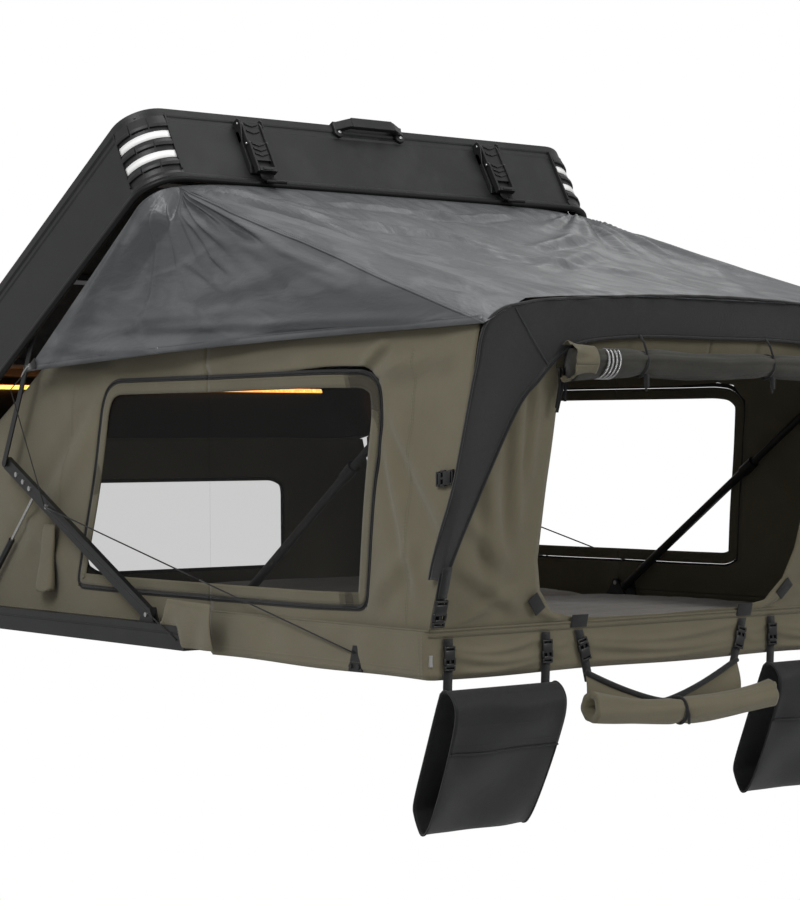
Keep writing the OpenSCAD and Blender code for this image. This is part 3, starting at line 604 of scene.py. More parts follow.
FINISH = {
    SHELL_BLACK: "tray_frame lift_arm_near lift_arm_far arm_brackets lid_links lid_roof lid_front lid_back "
                 "lid_side_near lid_side_far strut_cylinders cable_plates bow_legs bow_top",
    STEEL_DARK: "fold_leaves_base fold_leaves_panel strut_brackets bow_brackets lid_pivots",
    STEEL: "arm_pins fold_pins arm_bolts strut_rods",
    ALUMINIUM: "tray_floor bed_panel rack_rails lid_bars",
    PLASTIC: "lid_corners latch_bases latch_levers handle bow_collars",
    RUBBER: "lid_seal latch_straps fly_rod",
    REFLECTOR: "reflectors",
    WARM_LIGHT: "light_strip",
    LINING: "ceiling_liner",
    CORD: "stay_cables",
}
for finish, names in FINISH.items():
    for n in names.split():
        ob = NODES[n]
        ob.data.materials.clear()
        ob.data.materials.append(finish)

# Cords

CORD_TOP = (-0.12515, 0.7282, 0.34155)          # bolt on the arm
CORD_FOLD = (0.620, 0.7068, 0.1731)             # where the stay crosses the fold
CORD_ROUTES = {                                 # body, joint that slackens it, diameter, points
    "stay_rear": ("base", "arm_close", 0.004, (CORD_TOP, CORD_FOLD)),
    "stay_front": ("panel", "panel_fold", 0.004, (CORD_FOLD, (1.235, 0.6892, 0.034))),
    "tail_cord": ("base", "arm_close", 0.003, (CORD_TOP, (-0.275, 0.748, 0.661), (-0.196, 0.7473, 0.701))),
    "arm_cord": ("base", "arm_close", 0.003, (CORD_TOP, (0.480, 0.7455, 0.066), (0.570, 0.7438, 0.024))),
}


def cords():
    """Stay cables to the bed panel, cords to the fly's tail and along the arm."""
    nodes = ["stay_cables"]
    for name, (body, joint, wide, route) in CORD_ROUTES.items():
        for side, tag in SIDES:
            pts = np.array(route) * [1, side, 1]
            runs = [resample([a, b], 14)[:-1] for a, b in zip(pts, pts[1:])]
            line = np.vstack(runs + [pts[-1:]])
            ob = put(piece(name + "_" + tag, *tube(line, wide / 2, 8), CORD), body, "cord", *nodes)
            nodes = []
            outward(ob)
            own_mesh(ob)


cords()

# Rain fly

FLY_TOP = np.array([0.4705, 0.668, 1.1500])     # gathered corner under the lid's rim
FLY_TAIL = np.array([-0.193, 0.744, 0.707])     # rear corner with the eyelet
FLY_LOW = np.array([1.692, 0.685, 0.750])       # lower front corner
FLY_EDGE = np.array([1.700, 0.575, 0.806])      # front corner of the roof
ROOF_LEN = 1.29                                 # reach of the roof's folds along the slope
NV = 120                                        # points from a lid corner to the fly's edge
# Folds: angle from the ridge, width in degrees, height, length
ROOF_FOLDS = [
    (3.0, 1.3, 0.010, 1.25), (7.0, 1.6, 0.009, 0.95), (11.5, 1.8, 0.010, 1.15), (17.0, 2.2, 0.008, 0.75),
    (23.0, 2.6, 0.009, 1.00), (31.0, 3.2, 0.007, 0.60), (40.0, 4.0, 0.007, 0.80), (52.0, 4.5, 0.006, 0.45)]
SIDE_FOLDS = [
    (3.0, 1.3, 0.007, 0.90), (6.5, 1.5, 0.010, 0.70), (11.0, 1.8, 0.008, 0.95), (17.0, 2.4, 0.007, 0.55),
    (25.0, 3.0, 0.006, 0.75), (36.0, 3.5, 0.005, 0.45), (60.0, 4.0, 0.005, 0.50), (84.0, 4.0, 0.006, 0.60)]

# Crests: from, to, width, height
ROOF_CRESTS = (
    ((0.500, -0.635), (0.870, -0.365), 0.018, 0.013), ((0.780, -0.420), (1.000, -0.020), 0.022, 0.011),
    ((0.590, -0.340), (0.710, 0.190), 0.020, 0.008), ((0.490, -0.655), (1.420, -0.585), 0.020, 0.016),
    ((0.500, -0.648), (1.050, -0.500), 0.016, 0.011), ((0.950, -0.320), (1.300, 0.250), 0.028, 0.008),
    ((1.150, -0.520), (1.620, -0.200), 0.026, 0.007))
SIDE_CRESTS = (
    ((0.490, 1.130), (0.920, 0.962), 0.018, -0.017), ((0.680, 1.082), (0.950, 0.976), 0.011, 0.011),
    ((0.940, 0.992), (1.290, 0.868), 0.020, -0.018), ((0.950, 0.968), (1.270, 0.866), 0.011, 0.010),
    ((0.660, 0.975), (0.810, 0.897), 0.009, 0.005), ((0.540, 0.967), (0.760, 0.867), 0.009, 0.005),
    ((0.100, 0.805), (1.680, 0.766), 0.013, 0.009), ((0.060, 0.835), (0.860, 0.802), 0.016, 0.007),
    ((0.480, 1.090), (0.610, 0.840), 0.018, 0.006))


def lid_rim(p):
    """How far out the lid's rim lies beside points of the fly, and how near they are to it."""
    dx, dz = p[:, 0] - LID_FRONT[0], p[:, 2] - LID_FRONT[1]
    x = LID_LEN_X + dx * math.cos(TILT) + dz * math.sin(TILT)
    z = TRAY_H - dx * math.sin(TILT) + dz * math.cos(TILT)
    rim = 0.642 + np.sqrt(np.clip(0.01 - np.clip(x - 0.588, 0, 1) ** 2, 0, 1))
    return rim, smooth_step((z + 0.10) / 0.10) * smooth_step((0.70 - x) / 0.04)


def fan_folds(angle, reach, folds, seed):
    """Folds that run out from a corner: angle in degrees from the ridge, reach in metres."""
    r = np.random.RandomState(seed)
    h = np.zeros_like(angle)
    for mid, wide, high, long in folds:
        place = mid * (1 + 0.10 * (r.rand() - 0.5))
        m = place + 1.4 * np.sin(reach * 5 + 6 * r.rand()) * np.clip(reach, 0, 0.6)
        d = (angle - m) / (wide * (0.75 + 0.6 * np.clip(reach, 0, 1)))
        fade = smooth_step(reach / 0.09) * np.clip(1 - reach / long, 0, 1) ** 0.8
        h = h + 1.2 * high * fade * (np.exp(-d * d) - 0.75 * np.exp(-(d - 1.7) ** 2 / 1.3))
    return h


def fly_roof(nu, vs):
    """Points of the fly's roof: sag, folds from the lid's corners, crests and gathers."""
    u, v = [g.ravel() for g in np.meshgrid(np.linspace(-1, 1, nu), vs, indexing="ij")]
    front = FLY_EDGE[0] + 0.012 * (1 - u * u)
    x = FLY_TOP[0] + 0.004 * (1 - u * u) + (front - FLY_TOP[0] - 0.004 * (1 - u * u)) * v
    y = u * (FLY_TOP[1] + (FLY_EDGE[1] - FLY_TOP[1]) * v)
    z0 = FLY_TOP[2] + 0.016 * (1 - u ** 8)
    z = z0 + (FLY_EDGE[2] + 0.014 * (1 - u ** 4) - z0) * v
    q = 1 - np.abs(u)
    lane = smooth_step(q * 14) * smooth_step((1 - v) * 7)
    inward = q * (FLY_TOP[1] + (FLY_EDGE[1] - FLY_TOP[1]) * v)
    angle = np.degrees(np.arctan2(inward, v * ROOF_LEN + 1e-5))
    reach = np.hypot(inward, v * ROOF_LEN)
    near, far = (fan_folds(angle, reach, ROOF_FOLDS, seed) for seed in (3, 8))
    folds = np.where(u < 0, near, far)
    crests = sum(pull(x, y, *f) + pull(x, -y, *f) for f in ROOF_CRESTS)
    sag = 0.034 * np.sin(np.pi * v) * (1 - u ** 4)
    long_folds = 0.0030 * waves(y, 0.25 * x, 12, 10, 14, 40) * smooth_step(v * 6) * smooth_step(q * 8)
    drape = 0.0040 * waves(x, y, 11, 8, 5, 14) * smooth_step(q * 5) * np.sin(np.pi * v)
    gather = 0.0030 * np.sin(u * 60 + 3 * np.sin(u * 7)) * np.exp(-v * 8)
    gather = gather * smooth_step(q * 9) * smooth_step(v * 30)
    edge = 0.0030 * np.sin(u * 46 + 4 * np.sin(u * 9) + 2)
    edge = edge * smooth_step((v - 0.80) / 0.15) * smooth_step((1 - v) * 22)
    return list(np.stack([x, y, z - sag + lane * (folds + crests + long_folds + drape) + gather + edge], 1))


def fly_mesh():
    """Whole fly in one mesh: roof, then a fan of folds from each lid corner."""
    nu = 181
    vs = np.linspace(0, 1, NV) ** 1.12
    pts = fly_roof(nu, vs)
    faces = grid_faces(nu, NV)
    owner = ["roof"] * len(faces)
    lines = []
    for side, first in ((-1, 0), (1, (nu - 1) * NV)):
        top, tail, low, corner = (p * [1, side, 1] for p in (FLY_TOP, FLY_TAIL, FLY_LOW, FLY_EDGE))
        split = (top[0] - tail[0]) / (low[0] - tail[0])
        mid = tail + (low - tail) * split
        n_rear = 40
        rim = np.vstack([resample([tail, mid], n_rear), resample([mid, low], 80)[1:],
                         resample([low, corner], 14)[1:]])
        hem = np.linspace(0, 1, len(rim))
        rim[:, 2] += 0.010 * np.sin(np.pi * np.clip(hem / 0.88, 0, 1))
        ray = rim - top
        ridge = (corner - top) / np.linalg.norm(corner - top)
        length = np.linalg.norm(ray, axis=1)
        turn = np.degrees(np.arccos(np.clip((ray @ ridge) / length, -1, 1)))
        ang = np.arange(len(rim)) / (len(rim) - 1)
        lane = smooth_step((1 - ang) * 12) * smooth_step(ang * 14)
        ids = [[None] * NV for _ in rim]
        ids[-1] = [first + j for j in range(NV)]
        for a in range(len(rim) - 1):
            reach = vs * length[a]
            out = fan_folds(np.full(NV, turn[a]), reach, SIDE_FOLDS, 5 if side < 0 else 9)
            out = out * smooth_step((1 - vs) * 6)
            out = out + 0.003 * np.sin(np.pi * vs) * math.sin(math.pi * ang[a])
            p = top + ray[a] * vs[:, None]
            above = p[:, 2] - (tail[2] + (p[:, 0] - tail[0]) * (low[2] - tail[2]) / (low[0] - tail[0]))
            for level, wide, high in ((0.035, 0.014, 0.006), (0.085, 0.020, 0.006), (0.145, 0.026, 0.005)):
                bend = level + 0.018 * np.sin(p[:, 0] * 5 + level * 60)
                crest = high * np.exp(-((above - bend) / wide) ** 2)
                out = out + crest * smooth_step((p[:, 0] + 0.15) / 0.2) * smooth_step((1.35 - p[:, 0]) / 0.5)
            out = out + 0.012 * math.exp(-((ang[a] - 0.045) / 0.030) ** 2) * np.sin(np.pi * vs) ** 0.7
            out = out + 0.0016 * waves(p[:, 0], p[:, 2], 17, 9, 12, 40)
            out = out + sum(pull(p[:, 0], p[:, 2], *f) for f in SIDE_CRESTS)
            rim_y, near = lid_rim(p)
            flat = np.maximum(abs(p[:, 1]), abs(p[:, 1]) * (1 - near) + rim_y * near)
            over = FLY_TOP[1] + (0.706 - FLY_TOP[1]) * smooth_step(reach / 0.13)
            clear = smooth_step((len(rim) - 6 - a) / 22)
            over = over + (abs(rim[a][1]) - over) * smooth_step((vs - 0.72) / 0.28)
            flat = flat + clear * np.maximum(over - flat, 0)
            flat = flat + out * lane[a] * smooth_step(vs * 12)
            least = 0.662 + 0.0275 * smooth_step(reach / 0.10) * smooth_step((1 - vs) * 12)
            p[:, 1] = side * (flat + clear * np.maximum(least - flat, 0))
            ids[a] = [first] + list(range(len(pts), len(pts) + NV - 1))
            pts += list(p[1:])
        edge = [pts[i[-1]] for i in ids]
        n_low = n_rear + 78
        lines.append((side, [pts[i] for i in ids[n_low]], edge[:n_rear], edge[n_rear - 1:n_low + 1]))
        for a in range(len(rim) - 1):
            who = "rear" if a < n_rear - 1 else "front"
            for j in range(NV - 1):
                f = [ids[a][j], ids[a + 1][j], ids[a + 1][j + 1], ids[a][j + 1]]
                if j == 0:
                    f = f[1:] if side < 0 else [f[0], f[2], f[3]]
                faces.append(tuple(f if side < 0 else f[::-1]))
                owner.append(who)
    return np.array(pts), faces, owner, lines


def fly():
    """The fly as three sheets, with its ridge seams, hems and tail patches."""
    pts, faces, owner, lines = fly_mesh()
    n = vertex_normals(pts, faces)
    if n[len(n) // 4][2] < 0:
        faces = [tuple(reversed(f)) for f in faces]
        n = -n
    made = {}
    for who, name in (("roof", "fly_roof"), ("rear", "fly_rear_panels"), ("front", "fly_front_panels")):
        sel = [f for f, o in zip(faces, owner) if o == who]
        used = sorted({i for f in sel for i in f})
        back = {i: k for k, i in enumerate(used)}
        own = [tuple(back[i] for i in f) for f in sel]
        made[who] = cloth_piece(name, pts[used], own, FLY_CLOTH, 0.0014, n[used])
    roof, rear, front = made["roof"], made["rear"], made["front"]
    put(roof, "fly", "fly_cloth", "fly_sheet")
    put(rear, "lid", "fly_cloth", "fly_rear_sides")
    put(front, "panel", "fly_cloth", "fly_front_sides")
    cut(roof)
    cut(rear)
    cut(front)
    along = FLY_EDGE - FLY_TOP
    along[1] = 0
    along /= np.linalg.norm(along)

    def gather(ob, part):
        """Gives each piece of the fly its own copy of its mesh, roof, rear and front alike."""
        if part == "roof":
            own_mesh(ob)
        elif part == "rear":
            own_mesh(ob)
        else:
            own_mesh(ob)

    gather(roof, "roof")
    gather(rear, "rear")
    gather(front, "front")
    for side, ridge, hem_rear, hem_front in lines:
        tag = "near" if side < 0 else "far"
        ridge, hem_rear, hem_front = (np.array(q) for q in (ridge, hem_rear, hem_front))
        bead = tube(ridge[3:] + np.array([0, side * 0.0006, 0.0012]), 0.0024, 8)
        gather(put(piece("fly_ridge_" + tag, *bead, FLY_CLOTH), "fly", "fly_cloth"), "roof")
        rows = [ridge[4:-3] + [0, -side * d, 0.0012 + 0.45 * d] for d in (0.006, 0.012)]
        gather(stitches("fly_ridge_stitch_" + tag, rows, "fly", "fly_cloth", *FLY_STITCH), "roof")
        for part, hem, body in (("rear", hem_rear, "lid"), ("front", hem_front, "panel")):
            up = np.array([0, side * 0.0010, 0.018])
            strip = np.stack([hem + np.array([0, side * 0.0012, 0.0]), hem + up], 1).reshape(-1, 3)
            f = facing(strip, grid_faces(len(hem), 2), (0, side, 0))
            q, f, _ = thicken(strip, f, 0.0016)
            gather(put(piece("fly_hem_%s_%s" % (part, tag), q, f, FLY_CLOTH), body, "fly_cloth"), part)
            seam = [hem[1:-1] + up * [1, 2.0, 0.85]]
            name = "fly_hem_stitch_%s_%s" % (part, tag)
            gather(stitches(name, seam, body, "fly_cloth", *FLY_STITCH), part)
        c = FLY_TAIL * [1, side, 1]
        fan = [c + np.array([0.004, side * 0.0030, 0.004])]
        for a in np.linspace(0.10, 0.60, 14):
            fan.append(c + np.array([0.062 * math.cos(a), side * 0.0034, 0.062 * math.sin(a)]))
        f = facing(np.array(fan), [(0, k, k + 1) for k in range(1, 14)], (0, side, 0))
        q, f, _ = thicken(fan, f, 0.0020)
        gather(put(piece("fly_tail_patch_" + tag, q, f, FLY_BLACK), "lid", "fly_cloth"), "rear")


fly()

# Canvas walls

NEAR_REAR = [
    ((0.62, 1.040), (0.62, 0.668)), ((0.47, 1.092), (0.47, 0.670)), ((-0.10, 0.785), (0.185, 0.672)),
    ((-0.32, 0.665), (0.138, 0.655)), ((-0.565, 0.530), (0.108, 0.612)), ((-0.565, 0.047), (-0.034, 0.130)),
    ((0.20, 0.047), (0.20, 0.128)), ((0.62, 0.047), (0.62, 0.128))]
NEAR_FRONT = [
    ((0.62, 1.040), (0.62, 0.668)), ((0.90, 0.955), (0.90, 0.667)), ((1.15, 0.770), (1.12, 0.666)),
    ((1.40, 0.752), (1.262, 0.662)), ((1.668, 0.735), (1.312, 0.640)), ((1.640, 0.620), (1.326, 0.572)),
    ((1.499, 0.097), (1.266, 0.134)), ((1.10, 0.097), (1.10, 0.130)), ((0.62, 0.097), (0.62, 0.128))]
FAR_REAR = [
    ((0.62, 1.040), (0.62, 0.660)), ((0.47, 1.092), (0.47, 0.662)), ((-0.10, 0.785), (0.205, 0.664)),
    ((-0.32, 0.665), (0.155, 0.645)), ((-0.565, 0.530), (0.128, 0.605)), ((-0.565, 0.047), (0.020, 0.172)),
    ((0.20, 0.047), (0.20, 0.172)), ((0.62, 0.047), (0.62, 0.172))]
FAR_FRONT = [
    ((0.62, 1.040), (0.62, 0.660)), ((0.90, 0.955), (0.90, 0.657)), ((1.15, 0.770), (1.02, 0.656)),
    ((1.40, 0.752), (1.080, 0.648)), ((1.668, 0.735), (1.122, 0.612)), ((1.60, 0.45), (1.105, 0.40)),
    ((1.499, 0.097), (1.084, 0.188)), ((1.10, 0.097), (1.045, 0.172)), ((0.62, 0.097), (0.62, 0.172))]
PULLS_NEAR = [
    ((1.33, 0.55), (1.47, 0.13), 0.020, 0.007), ((1.34, 0.60), (1.60, 0.26), 0.026, 0.008),
    ((1.30, 0.66), (1.64, 0.70), 0.022, 0.007), ((1.27, 0.14), (1.48, 0.32), 0.024, 0.005),
    ((0.11, 0.63), (-0.30, 0.30), 0.022, 0.006), ((0.10, 0.58), (-0.45, 0.12), 0.030, 0.007),
    ((-0.04, 0.14), (-0.50, 0.42), 0.026, 0.006), ((0.20, 0.70), (-0.20, 0.70), 0.02, 0.005),
    ((0.5, 0.69), (1.1, 0.735), 0.016, 0.004), ((1.24, 0.67), (1.36, 0.74), 0.014, 0.006)]
PULLS_FAR = [
    ((1.12, 0.60), (1.50, 0.20), 0.03, 0.009), ((1.12, 0.62), (1.62, 0.55), 0.03, 0.009),
    ((1.10, 0.20), (1.50, 0.40), 0.03, 0.007), ((0.12, 0.62), (-0.40, 0.30), 0.03, 0.007),
    ((0.02, 0.18), (-0.50, 0.40), 0.03, 0.006)]


def wall_y(x, z, side):
    """Across place of the canvas at a point of a side wall."""
    pulls = PULLS_NEAR if side < 0 else PULLS_FAR
    corner = 0.008 * smooth_step((x - 1.12) / 0.45) * np.clip((z - SEAM_Z) / 0.64, 0, 1)
    slack = -0.004 + 0.0032 * waves(x, z, 5 if side < 0 else 6, 9, 7, 22)
    for f in pulls:
        slack = slack + 1.5 * pull(x, z, *f)
    return side * np.maximum(CLOTH_Y - corner + np.minimum(slack, 0.0045), 0.6655)


def between(outer, inner, nv):
    """Flat grid of points, nv on each line from an outer to an inner outline."""
    ts = np.linspace(0, 1, nv)[None, :, None]
    return (outer[:, None] * (1 - ts) + inner[:, None] * ts).reshape(-1, 2)


def strip_between(pairs, nv, step=0.02):
    """Grid points between two outlines given as matched corners."""
    outer, inner = [], []
    for (o0, i0), (o1, i1) in zip(pairs, pairs[1:]):
        runs = [math.hypot(b[0] - a[0], b[1] - a[1]) for a, b in ((o0, o1), (i0, i1))]
        n = max(2, *(int(r / step) for r in runs))
        for k in range(n):
            t = k / n
            outer.append(np.array(o0) * (1 - t) + np.array(o1) * t)
            inner.append(np.array(i0) * (1 - t) + np.array(i1) * t)
    outer.append(np.array(pairs[-1][0]))
    inner.append(np.array(pairs[-1][1]))
    return between(np.array(outer), np.array(inner), nv), len(outer)


def side_wall(name, pairs, side, body, node):
    """One half of a side wall, from its outline to its window."""
    xz, n = strip_between(pairs, 26)
    xz[:, 1] += 0.016 * smooth_step((xz[:, 1] - 0.62) / 0.06) * smooth_step((xz[:, 0] - 0.8) / 0.4)
    pts = np.stack([xz[:, 0], wall_y(xz[:, 0], xz[:, 1], side), xz[:, 1]], 1)
    faces = facing(pts, grid_faces(n, 26), (0, side, 0))
    ob = put(cloth_piece(name, pts, faces, CANVAS), body, "canvas", node)
    cut(ob)
    return ob


def fold_down(ob, body):
    """Gives a canvas piece its own copy of its mesh, the same for rear and front pieces."""
    if body == "base":
        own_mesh(ob)
    else:
        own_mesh(ob)
    return ob


def window_path(pairs, r=0.035):
    return rounded([i for _, i in pairs], r)


def offset_path(path, d):
    """Flat path moved sideways."""
    path = np.asarray(path, float)
    t = unit_rows(np.gradient(path, axis=0))
    return path + np.stack([t[:, 1], -t[:, 0]], 1) * d


def on_wall(path, side, lift):
    path = np.asarray(path, float)
    return np.stack([path[:, 0], wall_y(path[:, 0], path[:, 1], side) + side * lift, path[:, 1]], 1)


def band(name, path, side, d0, d1, lift, mat, body, slot, t=0.0022):
    """Flat band beside a window's outline, lying on the canvas."""
    cols = [on_wall(offset_path(path, d), side, lift) for d in np.linspace(d0, d1, 4)]
    pts = np.stack(cols, 1).reshape(-1, 3)
    faces = facing(pts, grid_faces(len(path), 4), (0, side, 0))
    p, f, _ = thicken(pts, faces, t)
    return put(piece(name, p, f, mat), body, slot)


def window_trim(tag, pairs, side, body, sign):
    """Black zip tape with its coil and a stitched canvas band round one half of a window."""
    path = resample(window_path(pairs), 150)

    def beside(d, lift):
        return on_wall(offset_path(path, d * sign), side, lift)

    tape = band("window_zip_" + tag, path, side, -0.006 * sign, 0.005 * sign, 0.0016, WEBBING, body, "webbing")
    edge = band("window_band_" + tag, path, side, 0.006 * sign, 0.036 * sign, 0.0013, CANVAS_BAND, body,
                "canvas")
    coil = row("window_coil_" + tag, [beside(-0.0005, 0.003)], TOOTH_ROW, PLASTIC, Pitch=0.0045, Long=0.0022,
               Wide=0.0045, High=0.0024)
    put(coil, body, "black_plastic")
    seam = stitches("window_stitch_" + tag, [beside(d, 0.0018) for d in (0.0100, 0.0320)], body, "canvas")
    for ob in (tape, edge, coil, seam):
        fold_down(ob, body)


def walls():
    """Side walls in halves that meet at the fold, and the mesh of the near window."""
    for side, tag, rear, front in ((-1, "near", NEAR_REAR, NEAR_FRONT), (1, "far", FAR_REAR, FAR_FRONT)):
        for part, pairs, body, flat, on, sign in (
                ("rear", rear, "base", (1.20, 1.06), "tray_frame", -1),
                ("front", front, "panel", (1.06, 0.96), "bed_panel", 1)):
            node = "wall_%s_%s" % (tag, part)
            fold_down(side_wall(node + "_cloth", pairs, side, body, node), body)
            window_trim(tag + "_" + part, pairs, side, body, sign)
    for part, pairs, body in (("rear", NEAR_REAR, "base"), ("front", NEAR_FRONT, "panel")):
        node = "mesh_near_" + part
        edge = window_path(pairs)
        mid = np.array([[FOLD_X, z] for z in np.linspace(0.668, 0.128, len(edge))])
        xz = between(edge, mid, 12)
        pts = np.stack([xz[:, 0], np.full(len(xz), -CLOTH_Y + 0.006), xz[:, 1]], 1)
        faces = facing(pts, grid_faces(len(edge), 12), (0, -1, 0))
        net = cloth_piece("window_mesh_" + part, pts, faces, INSECT_MESH, 0.0006)
        ob = put(net, body, "insect_mesh", node)
        cut(ob)
        fold_down(ob, body)


walls()


def rear_wall():
    """Canvas at the back with its window, seen through the near mesh."""
    half = [((0.0, 0.047), (0.0, 0.127)), ((0.36, 0.047), (0.31, 0.127)), ((0.66, 0.047), (0.345, 0.150)),
            ((0.679, 0.06), (0.35, 0.17)), ((0.679, 0.45), (0.35, 0.36)), ((0.66, 0.525), (0.345, 0.385)),
            ((0.36, 0.530), (0.31, 0.402)), ((0.0, 0.530), (0.0, 0.402))]
    ring = half + [((-o[0], o[1]), (-i[0], i[1])) for o, i in half[::-1][1:]]
    yz, n = strip_between(ring, 12)
    x = -0.5665 - 0.002 + 0.002 * waves(yz[:, 0], yz[:, 1], 21)
    pts = np.stack([x, yz[:, 0], yz[:, 1]], 1)
    faces = facing(pts, grid_faces(n, 12), (-1, 0, 0))
    ob = put(cloth_piece("rear_wall_cloth", pts, faces, CANVAS), "base", "canvas", "wall_rear")
    cut(ob)
    fold_down(ob, "base")
    path = rounded([i for _, i in ring], 0.03)
    tape = tube(np.stack([np.full(len(path), -0.5695), path[:, 0], path[:, 1]], 1), 0.006, 8)
    fold_down(put(piece("rear_window_binding", *tape, WEBBING), "base", "webbing"), "base")


rear_wall()

# Entrance end

DOOR_HALF = [(0.0, 0.006), (0.26, 0.008), (0.335, 0.026), (0.385, 0.078), (0.408, 0.150), (0.420, 0.330),
             (0.430, 0.540), (0.424, 0.590), (0.395, 0.612), (0.0, 0.616)]
END_HALF = [(0.0, 0.0), (0.36, 0.0), (0.56, 0.0), (0.683, 0.0), (0.680, 0.09), (0.667, 0.360), (0.655, 0.600),
            (0.650, 0.690), (0.575, 0.712), (0.0, 0.716)]
LEG_INNER = [(0.670, 0.118), (0.634, 0.244), (0.552, 0.486), (0.500, 0.560), (0.449, 0.617), (0.385, 0.646),
             (0.225, 0.661), (0.0, 0.662)]
LEG_OUTER = [(0.691, 0.118), (0.690, 0.250), (0.684, 0.480), (0.680, 0.580), (0.668, 0.684), (0.566, 0.727),
             (0.285, 0.749), (0.0, 0.757)]


def spline(pts, n):
    """Smooth curve through points, evenly cut by point number."""
    pts = np.asarray(pts, float)
    p = np.vstack([2 * pts[0] - pts[1], pts, 2 * pts[-1] - pts[-2]])
    out = []
    for s in np.linspace(0, len(pts) - 1, n):
        k = min(int(s), len(pts) - 2)
        t = s - k
        a, b, c, d = p[k:k + 4]
        bend = 2 * b + (c - a) * t + (2 * a - 5 * b + 4 * c - d) * t * t
        out.append(0.5 * (bend + (3 * b - a - 3 * c + d) * t ** 3))
    return np.array(out)


def mirrored(half):
    half = np.asarray(half, float)
    return np.vstack([half * [-1, 1], half[::-1][1:]])


END_FOLDS = (
    ((0.545, 0.56), (0.475, 0.16), 0.016, 0.013), ((0.500, 0.60), (0.470, 0.28), 0.011, 0.010),
    ((0.600, 0.40), (0.500, 0.06), 0.020, 0.012), ((0.660, 0.16), (0.420, 0.03), 0.016, 0.011),
    ((0.640, 0.26), (0.470, 0.13), 0.017, 0.010), ((0.420, 0.10), (0.640, 0.00), 0.012, 0.009),
    ((0.300, 0.00), (0.420, 0.05), 0.010, 0.007))


def end_slack(y, v):
    """How far the end wall's canvas stands off its plane: ripples and pulled folds."""
    s = -0.0030 + 0.0028 * waves(y, v, 31, 9, 7, 22)
    for side in (-1, 1):
        for a, b, wide, deep in END_FOLDS:
            s = s + pull(y, v, (side * a[0], a[1]), (side * b[0], b[1]), wide, deep)
    return np.minimum(s, 0.0045)


def end_wall():
    """Canvas round the door, and what lies along the door's edge."""
    door, rim = mirrored(DOOR_HALF[::-1]), mirrored(END_HALF[::-1])
    yv, n = strip_between(list(zip(map(tuple, rim), map(tuple, door))), 24, 0.016)
    pts = np.array([end_point(y, v, o) for (y, v), o in zip(yv, end_slack(yv[:, 0], yv[:, 1]))])
    faces = facing(pts, grid_faces(n, 24), (1, 0, 0))
    ob = put(cloth_piece("end_wall_cloth", pts, faces, CANVAS), "panel", "canvas", "end_wall")
    cut(ob)
    made = [ob]
    # The closing point comes twice here, which is an open fault
    loop = resample(rounded(np.vstack([door, door[:1]]), 0.03), 260)

    def beside(d, off):
        return [end_point(y, v, off) for y, v in offset_path(loop, d)]

    def ring_band(name, d0, d1, off, mat, slot):
        p = np.stack([beside(d, off) for d in np.linspace(d0, d1, 4)], 1).reshape(-1, 3)
        p, f, _ = thicken(p, facing(p, grid_faces(len(loop), 4), (1, 0, 0)), 0.002)
        made.append(put(piece(name, p, f, mat), "panel", slot))

    ring_band("door_trim", -0.024, -0.003, 0.0015, CANVAS_BAND, "canvas")
    ring_band("door_zip_tape", 0.001, 0.010, 0.0028, WEBBING, "webbing")
    ring_band("door_band", 0.011, 0.036, 0.0022, CANVAS_BAND, "canvas")
    for name, d, off, r in (("door_piping", -0.002, 0.004, 0.0032),
                            ("door_inner_piping", -0.025, 0.0015, 0.0040)):
        made.append(put(piece(name, *tube(beside(d, off), r, 8), RUBBER), "panel", "black_rubber"))
    coil = row("door_coil", [beside(0.005, 0.0035)], TOOTH_ROW, PLASTIC, Pitch=0.0042, Long=0.0022, Wide=0.0026,
               High=0.0055)
    made.append(put(coil, "panel", "black_plastic"))
    rows = [beside(d, 0.0028) for d in (0.0145, 0.0325)]
    made.append(stitches("door_stitch", rows, "panel", "canvas"))
    for ob in made:
        fold_down(ob, "panel")


end_wall()


